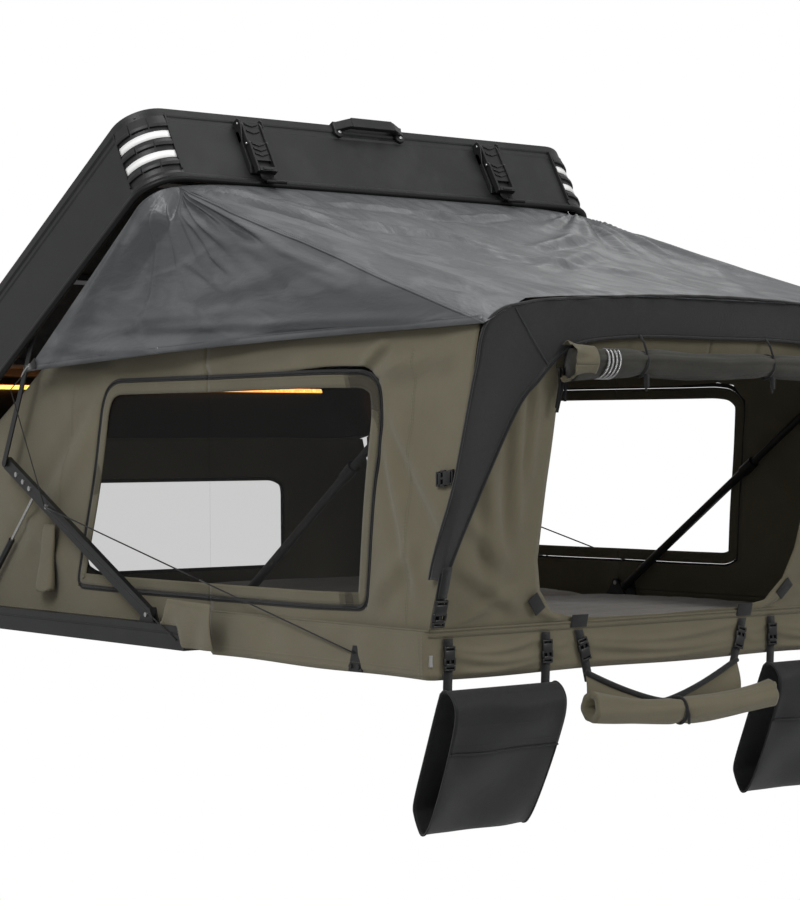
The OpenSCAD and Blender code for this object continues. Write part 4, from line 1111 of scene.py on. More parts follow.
def valance():
    """Dark front of the fly: a valance over the door that runs down into two legs."""
    nl, nt = 181, 15
    outer, inner = spline(mirrored(LEG_OUTER), nl), spline(mirrored(LEG_INNER), nl)
    pts = []
    for o, i in zip(outer, inner):
        low = smooth_step((0.36 - o[1]) / 0.24)
        for t in np.linspace(0, 1, nt):
            y, v = o * (1 - t) + i * t
            sag = 0.0030 * math.sin(9 * y + 4 * v) * (1 - low)
            sag = sag + 0.0022 * waves(np.array(y), np.array(v), 41, 8, 8, 24)
            gather = 0.0030 * math.sin(y * 130 + 5 * math.sin(y * 17)) * math.exp(-t * 7)
            gather = gather * (1 - low) * smooth_step((v - 0.69) / 0.05)
            off = 0.0075 + (sag * math.sin(math.pi * t) + gather) * (0.35 + 0.65 * (1 - low))
            p = end_point(y, v, off)
            if t < 0.35:
                p = p + np.array([-0.030 * low * (1 - t / 0.35) ** 1.5, 0, 0])
            pts.append(p)
    pts = np.array(pts)
    faces = facing(pts, grid_faces(nl, nt), (1, 0, 0))
    ob = put(cloth_piece("fly_valance", pts, faces, FLY_BLACK, 0.0016), "panel", "fly_cloth", "fly_legs")
    cut(ob)
    made = [ob]
    grid = pts.reshape(nl, nt, 3)
    hem = tube(grid[:, -1] + np.array([0.001, 0, 0]), 0.0036, 8)
    made.append(put(piece("valance_binding", *hem, WEBBING), "panel", "fly_cloth"))
    seam = tube(grid[:, 0] + np.array([0.001, 0, 0.001]), 0.0030, 8)
    made.append(put(piece("valance_seam", *seam, FLY_BLACK), "panel", "fly_cloth"))
    rows = [grid[:, -2] + np.array([0.0012, 0, 0])]
    made.append(stitches("valance_stitch", rows, "panel", "fly_cloth", *FLY_STITCH))
    for s, tag in SIDES:
        a, b = np.array([s * 0.600, 0.714]), np.array([s * 0.478, 0.588])
        line = [end_point(*(a * (1 - t) + b * t), 0.0085) for t in np.linspace(0, 1, 10)]
        dart = piece("valance_dart_" + tag, *tube(line, 0.0012, 6), STITCH_DARK)
        made.append(put(dart, "panel", "fly_cloth"))
    for ob in made:
        fold_down(ob, "panel")


valance()


BUCKLE_BITS = (     # size, place along, place to each side, bevel
    ((0.026, 0.032, 0.010), 0.010, 0, 0.003), ((0.010, 0.026, 0.008), -0.016, 0, 0.002),
    ((0.018, 0.006, 0.008), -0.006, 0.0155, 0.002), ((0.020, 0.005, 0.007), -0.006, 0, 0.001),
    ((0.005, 0.034, 0.007), 0.029, 0, 0.002), ((0.005, 0.034, 0.007), -0.027, 0, 0.002),
    ((0.012, 0.005, 0.007), 0.026, 0.0145, 0.001), ((0.010, 0.005, 0.007), -0.022, 0.0145, 0.001))
LEG_Y = 0.6785      # strap at the foot of a leg


def buckle(centre, along, across, scale=1.0):
    """Side-release buckle: socket, two prongs, centre rib and the loop bars."""
    a = np.asarray(along, float) / np.linalg.norm(along)
    c = np.asarray(across, float) / np.linalg.norm(across)
    turn = np.stack([a, c, np.cross(a, c)], 1)
    centre = np.asarray(centre, float)
    parts = []
    for size, x, y, bevel in BUCKLE_BITS:
        for side in ((1, -1) if y else (1,)):
            p, f = block(np.array(size) * scale, (0, 0, 0), bevel * scale, turn)
            parts.append((p + centre + turn @ (np.array((x, side * y, 0)) * scale), f))
    return merge(parts)


def leg_straps():
    """Webbing, buckle and loose tail at the foot of each leg, and a buckle at each corner."""
    across = (0, 1, 0)
    up = end_point(0, 1) - end_point(0, 0)
    for s, tag in SIDES:
        path = [end_point(s * LEG_Y, v, 0.0115) for v in np.linspace(0.135, 0.012, 12)]
        loose = [end_point(s * LEG_Y, v, 0.0145 + 0.006 * math.sin(9 * v))
                 for v in np.linspace(0.080, 0.150, 9)]
        foot = buckle(end_point(s * LEG_Y, 0.044, 0.018), up, across)
        corner = buckle((1.556, s * CLOTH_Y, 0.427), (1, 0, 0.1), (0, 0, 1), 0.95)
        for name, mesh, mat, slot in (
                ("leg_webbing_", ribbon(path, across, 0.025, 0.0018), WEBBING, "webbing"),
                ("leg_buckle_", foot, PLASTIC, "black_plastic"),
                ("leg_strap_tail_", ribbon(loose, across, 0.024, 0.0016), WEBBING, "webbing"),
                ("corner_buckle_", corner, PLASTIC, "black_plastic")):
            fold_down(fit(name + tag, mesh, mat, "panel", slot), "panel")


leg_straps()


STRAPS_Y = (-0.637, -0.359, -0.262, 0.262, 0.359, 0.637)
SWAGS = (           # level, drop, height, thickness, lean
    (0.066, 0.020, 0.0060, 0.008, 0.010), (0.040, 0.016, 0.0090, 0.010, -0.014),
    (0.014, 0.010, 0.0075, 0.008, 0.008))


def swag(y, z):
    """Folds of the skirt that sag between two hanging straps."""
    edges = (-0.683,) + STRAPS_Y + (0.683,)
    k = int(np.clip(np.searchsorted(edges, y) - 1, 0, len(edges) - 2))
    a, b = edges[k], edges[k + 1]
    t, wide = (y - a) / (b - a), b - a
    size = min(1.0, wide / 0.30)
    d = 0.0
    for level, drop, high, thin, lean in SWAGS:
        at = level - drop * math.sin(math.pi * t) + lean * (t - 0.5)
        d += high * size * math.sin(math.pi * t) ** 0.6 * math.exp(-((z - at) / thin) ** 2)
    return d


def skirt():
    """Hem of the canvas round the bed panel, with a seam tape along the top."""
    x0, x1 = 0.632, 1.5015
    line = rounded([(x0, -CLOTH_Y), (x1, -CLOTH_Y), (x1, CLOTH_Y), (x0, CLOTH_Y)], 0.02, 9)
    line = resample(line, 330)
    t = unit_rows(np.gradient(line, axis=0))
    out = np.stack([t[:, 1], -t[:, 0]], 1)
    nz = 34
    zs = np.linspace(SEAM_Z + 0.002, -0.010, nz)
    pts = []
    for k, (p, o) in enumerate(zip(line, out)):
        end = smooth_step((p[0] - 1.485) / 0.012)
        ripple = 0.0030 * math.sin(p[0] * 17 + 2 * math.sin(p[0] * 9)) + 0.0020 * math.sin(p[0] * 41)
        for j, z in enumerate(zs):
            q = j / (nz - 1)
            side = ripple * math.sin(math.pi * q)
            d = 0.001 + (1 - end) * (0.0030 + 0.6 * side) + end * swag(p[1], z)
            d = d - 0.007 * smooth_step((q - 0.90) / 0.10)
            pts.append((p[0] + o[0] * d, p[1] + o[1] * d, z + 0.0016 * math.sin(k * 0.10) * q))
    pts = np.array(pts)
    faces = facing(pts, grid_faces(len(line), nz), (1, 0, 0))
    ob = put(cloth_piece("skirt_cloth", pts, faces, CANVAS), "panel", "canvas", "skirt")
    cut(ob)
    rows = [[(*p, z) for p in line + out * 0.0035] for z in (0.0935, 0.0865)]
    for s in (-1, 1):
        rows += [[(x, s * 0.6872, z) for z in np.linspace(0.083, -0.004, 12)] for x in (1.468, 1.480)]
        rows.append([(x, s * 0.6885, 0.014) for x in np.linspace(0.66, 1.462, 60)])
    stitches("skirt_stitch", rows, "panel", "canvas")
    strip = np.array([[(*q, SEAM_Z), (*q, SEAM_Z - 0.015)] for q in line + out * 0.0024]).reshape(-1, 3)
    q, f, _ = thicken(strip, facing(strip, grid_faces(len(line), 2), (1, 0, 0)), 0.0014)
    put(piece("skirt_tape", q, f, CANVAS), "panel", "canvas")
    pipe = tube([(*q, SEAM_Z) for q in line + out * 0.002], 0.0028, 8)
    put(piece("skirt_piping", *pipe, CANVAS_BAND), "panel", "canvas")


def wall_seams():
    """Joins of the canvas panels: a double row of stitches each."""
    ts = np.linspace(0, 1, 40)
    for s, tag in SIDES:
        front = [[(1.438 - 0.028 * t + d, 0.704 - 0.595 * t) for t in ts] for d in (-0.003, 0.003)]
        rear = [[(-0.036 - 0.160 * t + d, 0.668 - 0.560 * t) for t in ts] for d in (-0.003, 0.003)]
        for part, rows, body in (("front", front, "panel"), ("rear", rear, "base")):
            name = "wall_seam_%s_%s" % (part, tag)
            fold_down(stitches(name, [on_wall(r, s, 0.0012) for r in rows], body, "canvas"), body)
        corner = [[end_point(s * y, v, 0.0022) for v in np.linspace(0.004, 0.16, 16)] for y in (0.652, 0.658)]
        fold_down(stitches("corner_seam_" + tag, corner, "panel", "canvas"), "panel")


wall_seams()
skirt()


ROLL_V, ROLL_OUT = 0.606, 0.029     # middle of the rolled door, up the slope and outwards
TIES_Y = (-0.235, 0.161)


def roll_cloth():
    """Loose turns of the rolled door, drawn in at its ties."""
    n, m = 120, 56
    pts = []
    for y in np.linspace(-0.436, 0.436, n):
        tie = min(abs(y - t) for t in TIES_Y)
        squeeze = 1 - 0.16 * math.exp(-(tie / 0.022) ** 2)
        end = 1 + 0.10 * smooth_step((abs(y) - 0.36) / 0.07)
        sag = -0.006 * math.sin((y - TIES_Y[0]) / 0.396 * math.pi) ** 2
        for k in range(m):
            a = math.tau * k / m
            wave = 1 + 0.07 * math.sin(2 * a + 6 * y)
            wave = wave + 0.035 * math.sin(5 * a + 14 * y + math.sin(23 * y)) + 0.02 * math.sin(9 * a - 20 * y)
            r = 0.0270 * squeeze * end * wave
            if 0.06 < (a / math.tau) < 0.13:
                r += 0.003
            pts.append(end_point(y, ROLL_V + sag + 1.12 * r * math.sin(a), ROLL_OUT + 0.92 * r * math.cos(a)))
    return pts, ring_faces(n, m, True) + end_caps(n, m)


def roll_mouth():
    """Cloth that opens at the near end of the roll."""
    pts = []
    for t in np.linspace(0, 1, 16):
        for k in range(49):
            a = math.tau * k / 48
            r = 0.0300 + 0.0075 * t ** 1.5 + 0.0022 * (0.3 + t) * math.sin(5 * a + 4 * t)
            r = r + 0.0016 * t * math.sin(11 * a)
            up, out = ROLL_V + 1.10 * r * math.sin(a), ROLL_OUT + 0.86 * r * math.cos(a)
            pts.append(end_point(-0.380 - 0.070 * t, up, out))
    return np.array(pts), grid_faces(16, 49)


def door_roll():
    """The door rolled up under the valance: loose turns, ties and its zip."""
    roll = fit("door_roll_cloth", roll_cloth(), DOOR_CLOTH, "panel", "door_cloth", "door_roll")
    ends = cloth_piece("roll_mouth", *roll_mouth(), CANVAS_BAND)
    made = [roll, put(outward(ends), "panel", "canvas")]
    cut(ends)
    ties, coils, tabs = [], [], []
    for y in TIES_Y:
        loop = []
        for a in np.linspace(0, math.tau, 40):
            up, out = ROLL_V - 0.003 + 0.0275 * math.sin(a), ROLL_OUT + 0.0245 * math.cos(a)
            loop.append(end_point(y + 0.004 * math.sin(a * 2), up, out))
        ties.append(tube(loop, 0.0030, 8, False))
        end = ((0, 0.580, 0.050), (0.004, 0.565, 0.053), (0.010, 0.548, 0.052))
        ties.append(tube([end_point(y + d, v, off) for d, v, off in end], 0.0026, 8))
        ties.append(block((0.010, 0.010, 0.030), end_point(y + 0.004, 0.572, 0.054), 0.003))
        root = ((0, 0.63, 0.045), (-0.001, 0.652, 0.030), (0, 0.665, 0.012))
        ties.append(tube([end_point(y + d, v, off) for d, v, off in root], 0.0026, 8))
    for k in range(4):
        loop = []
        for a in np.linspace(0, 4.2, 34):
            up, out = 0.602 + 0.0315 * math.sin(a - 2.3), ROLL_OUT + 0.031 * math.cos(a - 2.3)
            loop.append(end_point(-0.372 + 0.011 * k + 0.030 * (a / 4.2) ** 1.2, up, out))
        coils.append(loop)
    for y, v1, lean in ((-0.452, 0.50, 0.004), (-0.444, 0.515, 0.012), (-0.436, 0.49, -0.004)):
        line = [end_point(y, 0.588, 0.012), end_point(y + lean, 0.55, 0.018),
                end_point(y + 1.6 * lean, v1, 0.016)]
        tabs.append(ribbon(resample(line, 8), (0.3, 1, 0), 0.0065, 0.002))
    made.append(fit("roll_ties", merge(ties), WEBBING, "panel", "webbing"))
    teeth = row("roll_zip_coils", coils, TOOTH_ROW, STEEL, Pitch=0.0032, Long=0.0021, Wide=0.0055, High=0.0045)
    made.append(put(teeth, "panel", "bright_steel"))
    made.append(fit("zip_pulls", merge(tabs), RUBBER, "panel", "black_rubber"))
    for ob in made:
        fold_down(ob, "panel")


door_roll()


def hook_tabs():
    """Hook-and-loop tabs that hold the door's cover."""
    parts = []
    across = np.array([0, 1, 0])
    up = end_point(0, 1) - end_point(0, 0)
    out = np.cross(across, up)
    for y, v, turn in ((-0.396, 0.050, -0.85), (-0.259, -0.006, 0), (0.269, -0.006, 0), (0.394, 0.052, 0.85)):
        a = math.cos(turn) * across + math.sin(turn) * up
        frame_turn = np.stack([a, np.cross(out, a), out], 1)
        parts.append(block((0.048, 0.030, 0.0025), end_point(y, max(v, 0.004), 0.0045), 0.001, frame_turn))
    fold_down(fit("hook_tabs", merge(parts), WEBBING, "panel", "webbing"), "panel")


hook_tabs()

# Beds and ceiling


BED_HALF, BED_LOW, BED_TOP = 0.629, 0.045, 0.096     # half width, bottom and top of the mattress


def mattress(name, node, body, x0, x1, seed):
    """Quilted mattress: rounded edges, crown and stitched channels across."""
    nx, ny = 90, 130
    cx, hx = (x0 + x1) / 2, (x1 - x0) / 2
    pts = []
    for u in np.linspace(-1, 1, nx):
        for v in np.linspace(-1, 1, ny):
            edge = (1 - abs(u) ** 14) * (1 - abs(v) ** 18)
            x, y = cx + u * hx, v * BED_HALF
            puff = 0.0045 * (abs(math.sin(math.pi * (x - x0) / 0.105)) ** 0.6)
            puff = puff * (abs(math.sin(math.pi * y / 0.21)) ** 0.4)
            soft = 0.002 * float(waves(np.array(x), np.array(y), seed, 8, 5, 15))
            z = BED_LOW + 0.012 + (BED_TOP - BED_LOW - 0.017) * edge ** 0.5 + puff * edge + soft * edge
            pts.append((x, y, z))
    pts = np.array(pts)
    low = pts.copy()
    low[:, 2] = BED_LOW + 0.0005
    low[:, 0] = cx + (low[:, 0] - cx) * 0.992
    low[:, 1] *= 0.992
    mesh = np.vstack([pts, low]), shell_faces(grid_faces(nx, ny), len(pts))
    fit(name, mesh, MATTRESS, body, "mattress_cloth", node)


mattress("mattress_rear_pad", "mattress_rear", "base", -0.557, 0.599, 3)
mattress("mattress_front_pad", "mattress_front", "panel", 0.641, 1.487, 4)


def ceiling():
    """Quilted lining under the lid's roof, and the lamps on the light strip."""
    nx, ny = 110, 130
    pts = []
    for u in np.linspace(0, 1, nx):
        for v in np.linspace(-1, 1, ny):
            x, y = -0.575 + 1.235 * u, 0.717 * v
            puff = abs(math.sin(math.pi * (x + y) / 0.16) * math.sin(math.pi * (x - y) / 0.16)) ** 0.5
            pts.append(lid_point(x, y, 0.2735 - 0.001 - 0.0045 * puff))
    pts = np.array(pts)
    faces = facing(pts, grid_faces(nx, ny), -np.array(LID.to_3x3() @ Vector((0, 0, 1))))
    p, f, _ = thicken(pts, faces, 0.0008)
    ob = put(piece("ceiling_quilt", p, f, LINING), "lid", "ceiling_cloth", "ceiling_liner")
    strip = [[lid_point(-0.5855, y, 0.240) for y in (-0.60, 0.60)]]
    lamps = row("lamp_dots", strip, STUD_ROW, WARM_LIGHT, Pitch=0.018, Long=0.007, Wide=0.007, High=0.007)
    put(lamps, "lid", "warm_light")


ceiling()

# Bags and pouch under the entrance

BAG_LEAN = math.radians(24)


def bag_point(side, u, d, w):
    """Across, down the bag and out from its back."""
    return np.array([END_X + 0.002 - math.sin(BAG_LEAN) * d + math.cos(BAG_LEAN) * w, side * 0.497 + u,
                     -0.030 - math.cos(BAG_LEAN) * d - math.sin(BAG_LEAN) * w])


# Section of a bag: down from its mouth, out from its back
BAG_LOOP = [
    (0.010, 0.001), (-0.003, 0.010), (-0.005, 0.026), (0.001, 0.044), (0.016, 0.060), (0.045, 0.070),
    (0.090, 0.074), (0.150, 0.076), (0.220, 0.075), (0.285, 0.071), (0.322, 0.063), (0.334, 0.050),
    (0.326, 0.034), (0.308, 0.014), (0.290, 0.003), (0.250, 0.000), (0.180, 0.000), (0.110, 0.000),
    (0.050, 0.000)]


def bag(side, node):
    """Shoe bag: one loop of cloth, open at both sides, with a stiff flap over the mouth."""
    tag = "near" if side < 0 else "far"
    loop = spline(BAG_LOOP + BAG_LOOP[:1], 121)[:-1]
    m, nu = len(loop), 46
    us = np.linspace(-1, 1, nu)

    def at(u, d, w, lift=0.0):
        q = np.clip(d / 0.334, 0, 1)
        hw = 0.157 - 0.013 * q
        front = smooth_step((w - 0.035) / 0.03)
        slack = 0.0035 * math.sin(7 * q + 3 * u) + 0.0022 * math.sin(5 * u - 9 * q + 1)
        return bag_point(side, hw * u, d, w + slack * (1 - u ** 6) * front + lift)

    pts = np.array([at(u, d, w) for u in us for d, w in loop])
    faces = ring_faces(nu, m)
    n = vertex_normals(pts, faces)
    if ((pts - pts.mean(0)) * n).sum() < 0:
        faces = [tuple(reversed(f)) for f in faces]
    body = put(cloth_piece("shoe_bag_" + tag, pts, faces, BAG_CLOTH, 0.0022), "panel", "bag_cloth", node)
    cut(body)
    made = [body]
    grid = pts.reshape(nu, m, 3)
    rims = [tube(np.vstack([grid[i], grid[i][:2]]), 0.0026, 6, False) for i in (0, nu - 1)]
    made.append(fit("bag_piping_" + tag, merge(rims), WEBBING, "panel", "webbing"))
    ks = [k for k in range(m) if loop[k][1] > 0.006 and loop[k][0] < 0.118 and k < m * 0.7]
    flap = np.array([at(u * 1.004, *loop[k], 0.0030) for u in us for k in ks])
    ff = facing(flap, grid_faces(nu, len(ks)), (1, 0, 0.6))
    fl = put(cloth_piece("bag_flap_" + tag, flap, ff, BAG_CLOTH, 0.0022), "panel", "bag_cloth")
    cut(fl)
    made.append(fl)
    g = flap.reshape(nu, len(ks), 3)
    out = np.array([0.0012, 0, 0])
    made.append(fit("bag_binding_" + tag, tube(g[:, -1] + out, 0.0022, 6), WEBBING, "panel", "webbing"))
    rows = [g[1:-1, -j] + out for j in (3, 9)] + [g[1, 2:] + out, g[-2, 2:] + out]
    made.append(stitches("bag_stitch_" + tag, rows, "panel", "bag_cloth", *BAG_STITCH))
    for ob in made:
        stow(ob)


def stow(ob):
    """Gives what hangs under the entrance its own copy of its mesh."""
    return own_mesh(ob)


def hang_straps():
    """Straps with buckles that carry the bags and the pouch; the inner ones lean."""
    for k, y in enumerate(STRAPS_Y):
        lean = -0.034 * math.copysign(1, y) if abs(y) < 0.3 else 0.0
        path = []
        for z in np.linspace(0.080, -0.040, 16):
            path.append(np.array([1.5065 + 0.002 * math.sin(30 * z), y + lean * (0.080 - z) / 0.12, z]))
        strap = fit("hang_strap_%d" % k, ribbon(path, (0, 1, 0), 0.0245, 0.0018), WEBBING, "panel", "webbing",
                    *(["hang_straps"] if k == 0 else []))
        along = (0, lean, -0.12) if lean else (0, 0, 1)
        clip = buckle((1.5125, y + lean * 0.37, 0.036), along, (0, 1, lean / 0.12), 0.86)
        stow(strap)
        stow(fit("hang_buckle_%d" % k, clip, PLASTIC, "panel", "black_plastic"))


def pouch_cloth():
    """Loose roll of cloth, drawn in at its tie, with a hollow at each end."""
    n, m = 90, 44
    first, last = -0.252, 0.318
    pts = []
    for y in np.linspace(first, last, n):
        q = (y - 0.033) / 0.285
        r = 0.0300 + 0.004 * abs(q) ** 3 + 0.0016 * math.sin(18 * y)
        r *= 1 - 0.14 * math.exp(-((y - 0.02) / 0.016) ** 2)
        z = -0.120 + 0.022 * q * q - 0.004 * q
        x = 1.540 + 0.004 * math.sin(7 * y)
        for k in range(m):
            a = math.tau * k / m
            wave = 1 + 0.05 * math.sin(3 * a + 9 * y) + 0.03 * math.sin(7 * a - 15 * y)
            rr = r * (wave + (0.09 if 4 < k < 8 else 0))
            pts.append((x + 0.88 * rr * math.cos(a), y, z + rr * math.sin(a)))
    faces = ring_faces(n, m, True)
    for i, deep in ((0, first + 0.035), (n - 1, last - 0.035)):
        ring = [i * m + k for k in range(m)]
        rim = np.array([pts[j] for j in ring])
        c = np.mean(rim, 0)
        start = len(pts)
        pts += [tuple(c + (p - c) * 0.55) for p in rim]
        for p in rim:
            q = c + (p - c) * 0.5
            pts.append((q[0], deep, q[2]))
        for k in range(m):
            a, b = ring[k], ring[(k + 1) % m]
            c1, d1 = start + k, start + (k + 1) % m
            faces.append((a, b, d1, c1))
            faces.append((c1, d1, d1 + m, c1 + m))
        faces.append(tuple(start + m + k for k in range(m)))
    return pts, faces


def pouch():
    """Rolled khaki pouch: a sling of cloth from two straps round a loose roll."""
    nu, nt = 60, 12
    pts = []
    for y in np.linspace(-0.242, 0.246, nu):
        q = abs(y - 0.002) / 0.244
        top = -0.100 + 0.082 * q ** 1.25
        bottom = -0.112 - 0.012 * (1 - q * q)
        for t in np.linspace(0, 1, nt):
            z = top + (bottom - top) * t
            pts.append((1.5065 + 0.012 * math.sin(math.pi * t) * q + 0.004 * math.sin(16 * y + 4 * t), y, z))
    pts = np.array(pts)
    faces = facing(pts, grid_faces(nu, nt), (1, 0, 0))
    sling = put(cloth_piece("pouch_sling", pts, faces, CANVAS, 0.0018), "panel", "canvas", "pouch")
    cut(sling)
    hem = tube(pts.reshape(nu, nt, 3)[:, 0] + np.array([0.001, 0, 0]), 0.0072, 8)
    edge = put(piece("pouch_binding", *hem, WEBBING), "panel", "webbing")
    body = fit("pouch_roll", pouch_cloth(), CANVAS, "panel", "canvas")
    loop = [(1.540 + 0.0270 * math.cos(a), 0.02, -0.120 + 0.0300 * math.sin(a))
            for a in np.linspace(0, math.tau, 36)]
    ends = (((1.566, 0.02, -0.112), (1.571, 0.022, -0.128), (1.566, 0.026, -0.150)),
            ((1.535, 0.02, -0.090), (1.520, 0.02, -0.092), (1.509, 0.018, -0.098)))
    tie = [tube(loop, 0.0042, 8, False)] + [tube(e, 0.0036, 8) for e in ends]
    for ob in (sling, edge, body, fit("pouch_tie", merge(tie), WEBBING, "panel", "webbing")):
        stow(ob)


bag(-1, "bag_near")
bag(1, "bag_far")
hang_straps()
pouch()

# Flaps and fittings on the long sides


def swell(c, power):
    """A sine or cosine drawn towards a square, with its sign."""
    return math.copysign(abs(c) ** power, c)


def vent_sleeve():
    """Padded sleeve of the near wall's vent."""
    n, m = 26, 40
    pts = []
    for t in np.linspace(0, 1, n):
        z = 0.292 - 0.180 * t
        hw = 0.030 + 0.011 * smooth_step(t) + 0.002 * math.sin(9 * t)
        depth = 0.010 + 0.016 * t ** 1.5
        if t < 0.08:
            depth *= 0.4 + 7.5 * t
        for k in range(m):
            a = math.tau * k / m
            x = -0.170 - 0.012 * t + hw * swell(math.cos(a), 0.6)
            y = -0.6850 - depth * (0.5 + 0.5 * swell(math.sin(a), 0.7))
            pts.append((x, y, z + 0.004 * math.sin(3 * a) * t))
    mesh = pts, ring_faces(n, m, True) + end_caps(n, m)
    sleeve = fit("vent_sleeve", mesh, CANVAS, "base", "canvas")
    fold_down(sleeve, "base")


def hinge_flaps():
    """Canvas flaps over the fold hinge."""
    nx, nz = 40, 22
    for s, tag in SIDES:
        pts = []
        for u in np.linspace(0, 1, nx):
            top = 0.070 + 0.056 * smooth_step(u / 0.12) - 0.006 * u
            low = 0.060 - 0.052 * smooth_step((u - 0.30) / 0.12)
            x = 0.506 + 0.220 * u
            for t in np.linspace(0, 1, nz):
                z = top + (low - top) * t
                out = 0.7450 + 0.0045 * math.sin(math.pi * t) + 0.003 * math.sin(13 * u + 3 * t) * t
                pts.append((x + 0.010 * t * u, s * out, z))
        pts = np.array(pts)
        faces = facing(pts, grid_faces(nx, nz), (0, s, 0))
        ob = put(cloth_piece("hinge_flap_" + tag, pts, faces, CANVAS), "base", "canvas",
                 *(["wall_flaps"] if s < 0 else []))
        cut(ob)
        g = pts.reshape(nx, nz, 3)
        lift = np.array([0, s * 0.0008, 0])
        seam = stitches("flap_stitch_" + tag, [g[2:-2, 2] + lift, g[2:-2, -3] + lift], "base", "canvas")
        for q in (ob, seam):
            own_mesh(q)


hinge_flaps()
vent_sleeve()

# Lid fittings, in the closed lid's frame
CORNERS = ((0.588, 0.642, 0), (-0.500, 0.642, 90), (-0.500, -0.642, 180), (0.588, -0.642, 270))
LOUVRES = ((0.110, 0.131), (0.171, 0.192), (0.228, 0.262))
LATCH_Y, PIN_X, PIN_Z = 0.400, 0.702, 0.248
HANDLE_Y = 0.102
# Sections of the corner castings: radius, height
CAST_WALL = [(0.0962, 0.0685), (0.1000, 0.0685), (0.1000, 0.2738), (0.0962, 0.2738)]
CAST_END = [(0.098, 0.097), (0.1046, 0.098), (0.1046, 0.264), (0.098, 0.265)]
CAST_FOOT = [(0.0985, 0.076), (0.1025, 0.076), (0.1032, 0.077), (0.1032, 0.085), (0.1025, 0.087),
             (0.1005, 0.094), (0.0985, 0.094)]
# Outlines of the latches in X and Z
HOUSING = [(0.684, 0.100), (0.690, 0.100), (0.6972, 0.118), (0.6972, 0.224), (0.692, 0.232), (0.684, 0.232)]
EAR = [(0.684, 0.196), (0.697, 0.196), (0.713, 0.236), (0.713, 0.254), (0.707, 0.262), (0.686, 0.262),
       (0.684, 0.258)]
LEVER_UPPER = [(0.6985, 0.178), (0.7100, 0.178), (0.7125, 0.190), (0.7125, 0.238), (0.7095, 0.250),
               (0.6985, 0.254)]
LEVER_LOWER = [(0.6985, 0.092), (0.7135, 0.092), (0.7160, 0.098), (0.7160, 0.180), (0.7130, 0.188),
               (0.6985, 0.188)]
LEVER_PLATES = (    # front, half width, heights, bevel
    (0.7075, 0.0270, (0.178, 0.254), 0.0012), (0.7110, 0.0245, (0.128, 0.186), 0.0012),
    (0.7025, 0.0245, (0.106, 0.130), 0.0006), (0.7170, 0.0245, (0.0915, 0.1045), 0.0012))
LEVER_RIBS = ((0.7070, 0.236), (0.7070, 0.214), (0.7105, 0.172), (0.7105, 0.156), (0.7105, 0.140))
STRAP_LINE = [(0.7030, 0.098), (0.7030, 0.086), (0.7036, 0.079), (0.7060, 0.072), (0.7105, 0.066),
              (0.7170, 0.0590), (0.7240, 0.0520), (0.7300, 0.0460)]


def on_lid(parts):
    """Merged parts, moved from the closed lid's frame to the raised lid."""
    pts, faces = merge(parts)
    return [lid_point(*p) for p in pts], faces


def span(x, y, z, bevel=0.0012):
    """Rounded box between limits."""
    lo, hi = np.array([x[0], y[0], z[0]]), np.array([x[1], y[1], z[1]])
    return block(hi - lo, (lo + hi) / 2, bevel)


def prism(poly, axis, lo, hi, bevel=0.0012):
    """Outline swept along an axis: X and Z give it for Y, X and Y for Z, Y and Z for X."""
    bm = bmesh.new()
    order = {"y": (0, 2, 1), "z": (0, 1, 2), "x": (1, 2, 0)}[axis]
    ends = []
    for d in (lo, hi):
        vs = []
        for q in poly:
            co = [0.0, 0.0, 0.0]
            co[order[0]], co[order[1]], co[order[2]] = q[0], q[1], d
            vs.append(bm.verts.new(co))
        ends.append(vs)
    n = len(poly)
    bm.faces.new(ends[0])
    bm.faces.new(ends[1][::-1])
    for k in range(n):
        bm.faces.new((ends[0][k], ends[1][k], ends[1][(k + 1) % n], ends[0][(k + 1) % n]))
    bmesh.ops.recalc_face_normals(bm, faces=bm.faces)
    if bevel:
        bmesh.ops.bevel(bm, geom=list(bm.edges), offset=bevel, segments=2, profile=0.5, affect="EDGES")
    bm.verts.index_update()
    pts = np.array([v.co for v in bm.verts], float)
    faces = [tuple(v.index for v in f.verts) for f in bm.faces]
    bm.free()
    return pts, faces


def arc(corner, a0, a1, section, n=14):
    """Section (radius, height) turned about a lid corner between two angles."""
    cx, cy, start = corner
    pts = []
    for a in np.radians(start + np.linspace(a0, a1, n)):
        pts += [(cx + r * math.cos(a), cy + r * math.sin(a), z) for r, z in section]
    return pts, ring_faces(n, len(section)) + end_caps(n, len(section))


def lid_corners():
    """Corner castings with louvre blocks, and the reflective bands between the rows."""
    cast, shine = [], []
    for c in CORNERS:
        cast.append(arc(c, 0.3, 89.7, CAST_WALL, 20))
        for z0, z1 in LOUVRES:
            louvre = [(0.099, z0), (0.1050, z0), (0.1058, z0 + 0.0012), (0.1058, z0 + 0.009),
                      (0.1050, z0 + 0.0105), (0.1022, z1 - 0.001), (0.1015, z1), (0.099, z1)]
            for k in range(3):
                cast.append(arc(c, 3.6 + 28.2 * k, 29.8 + 28.2 * k, louvre, 9))
        for a in (0.4, 87.0):
            cast.append(arc(c, a, a + 2.6, CAST_END, 4))
        cast.append(arc(c, 0.4, 89.6, CAST_FOOT, 20))
        for z in (0.1335, 0.1945):
            band_section = [(0.1003, z), (0.1015, z), (0.1015, z + 0.021), (0.1003, z + 0.021)]
            shine.append(arc(c, 3.2, 86.8, band_section, 24))
    fit("corner_castings", on_lid(cast), PLASTIC, "lid", "black_plastic", "lid_corners", smooth=False)
    fit("corner_reflectors", on_lid(shine), REFLECTOR, "lid", "reflective", "reflectors")


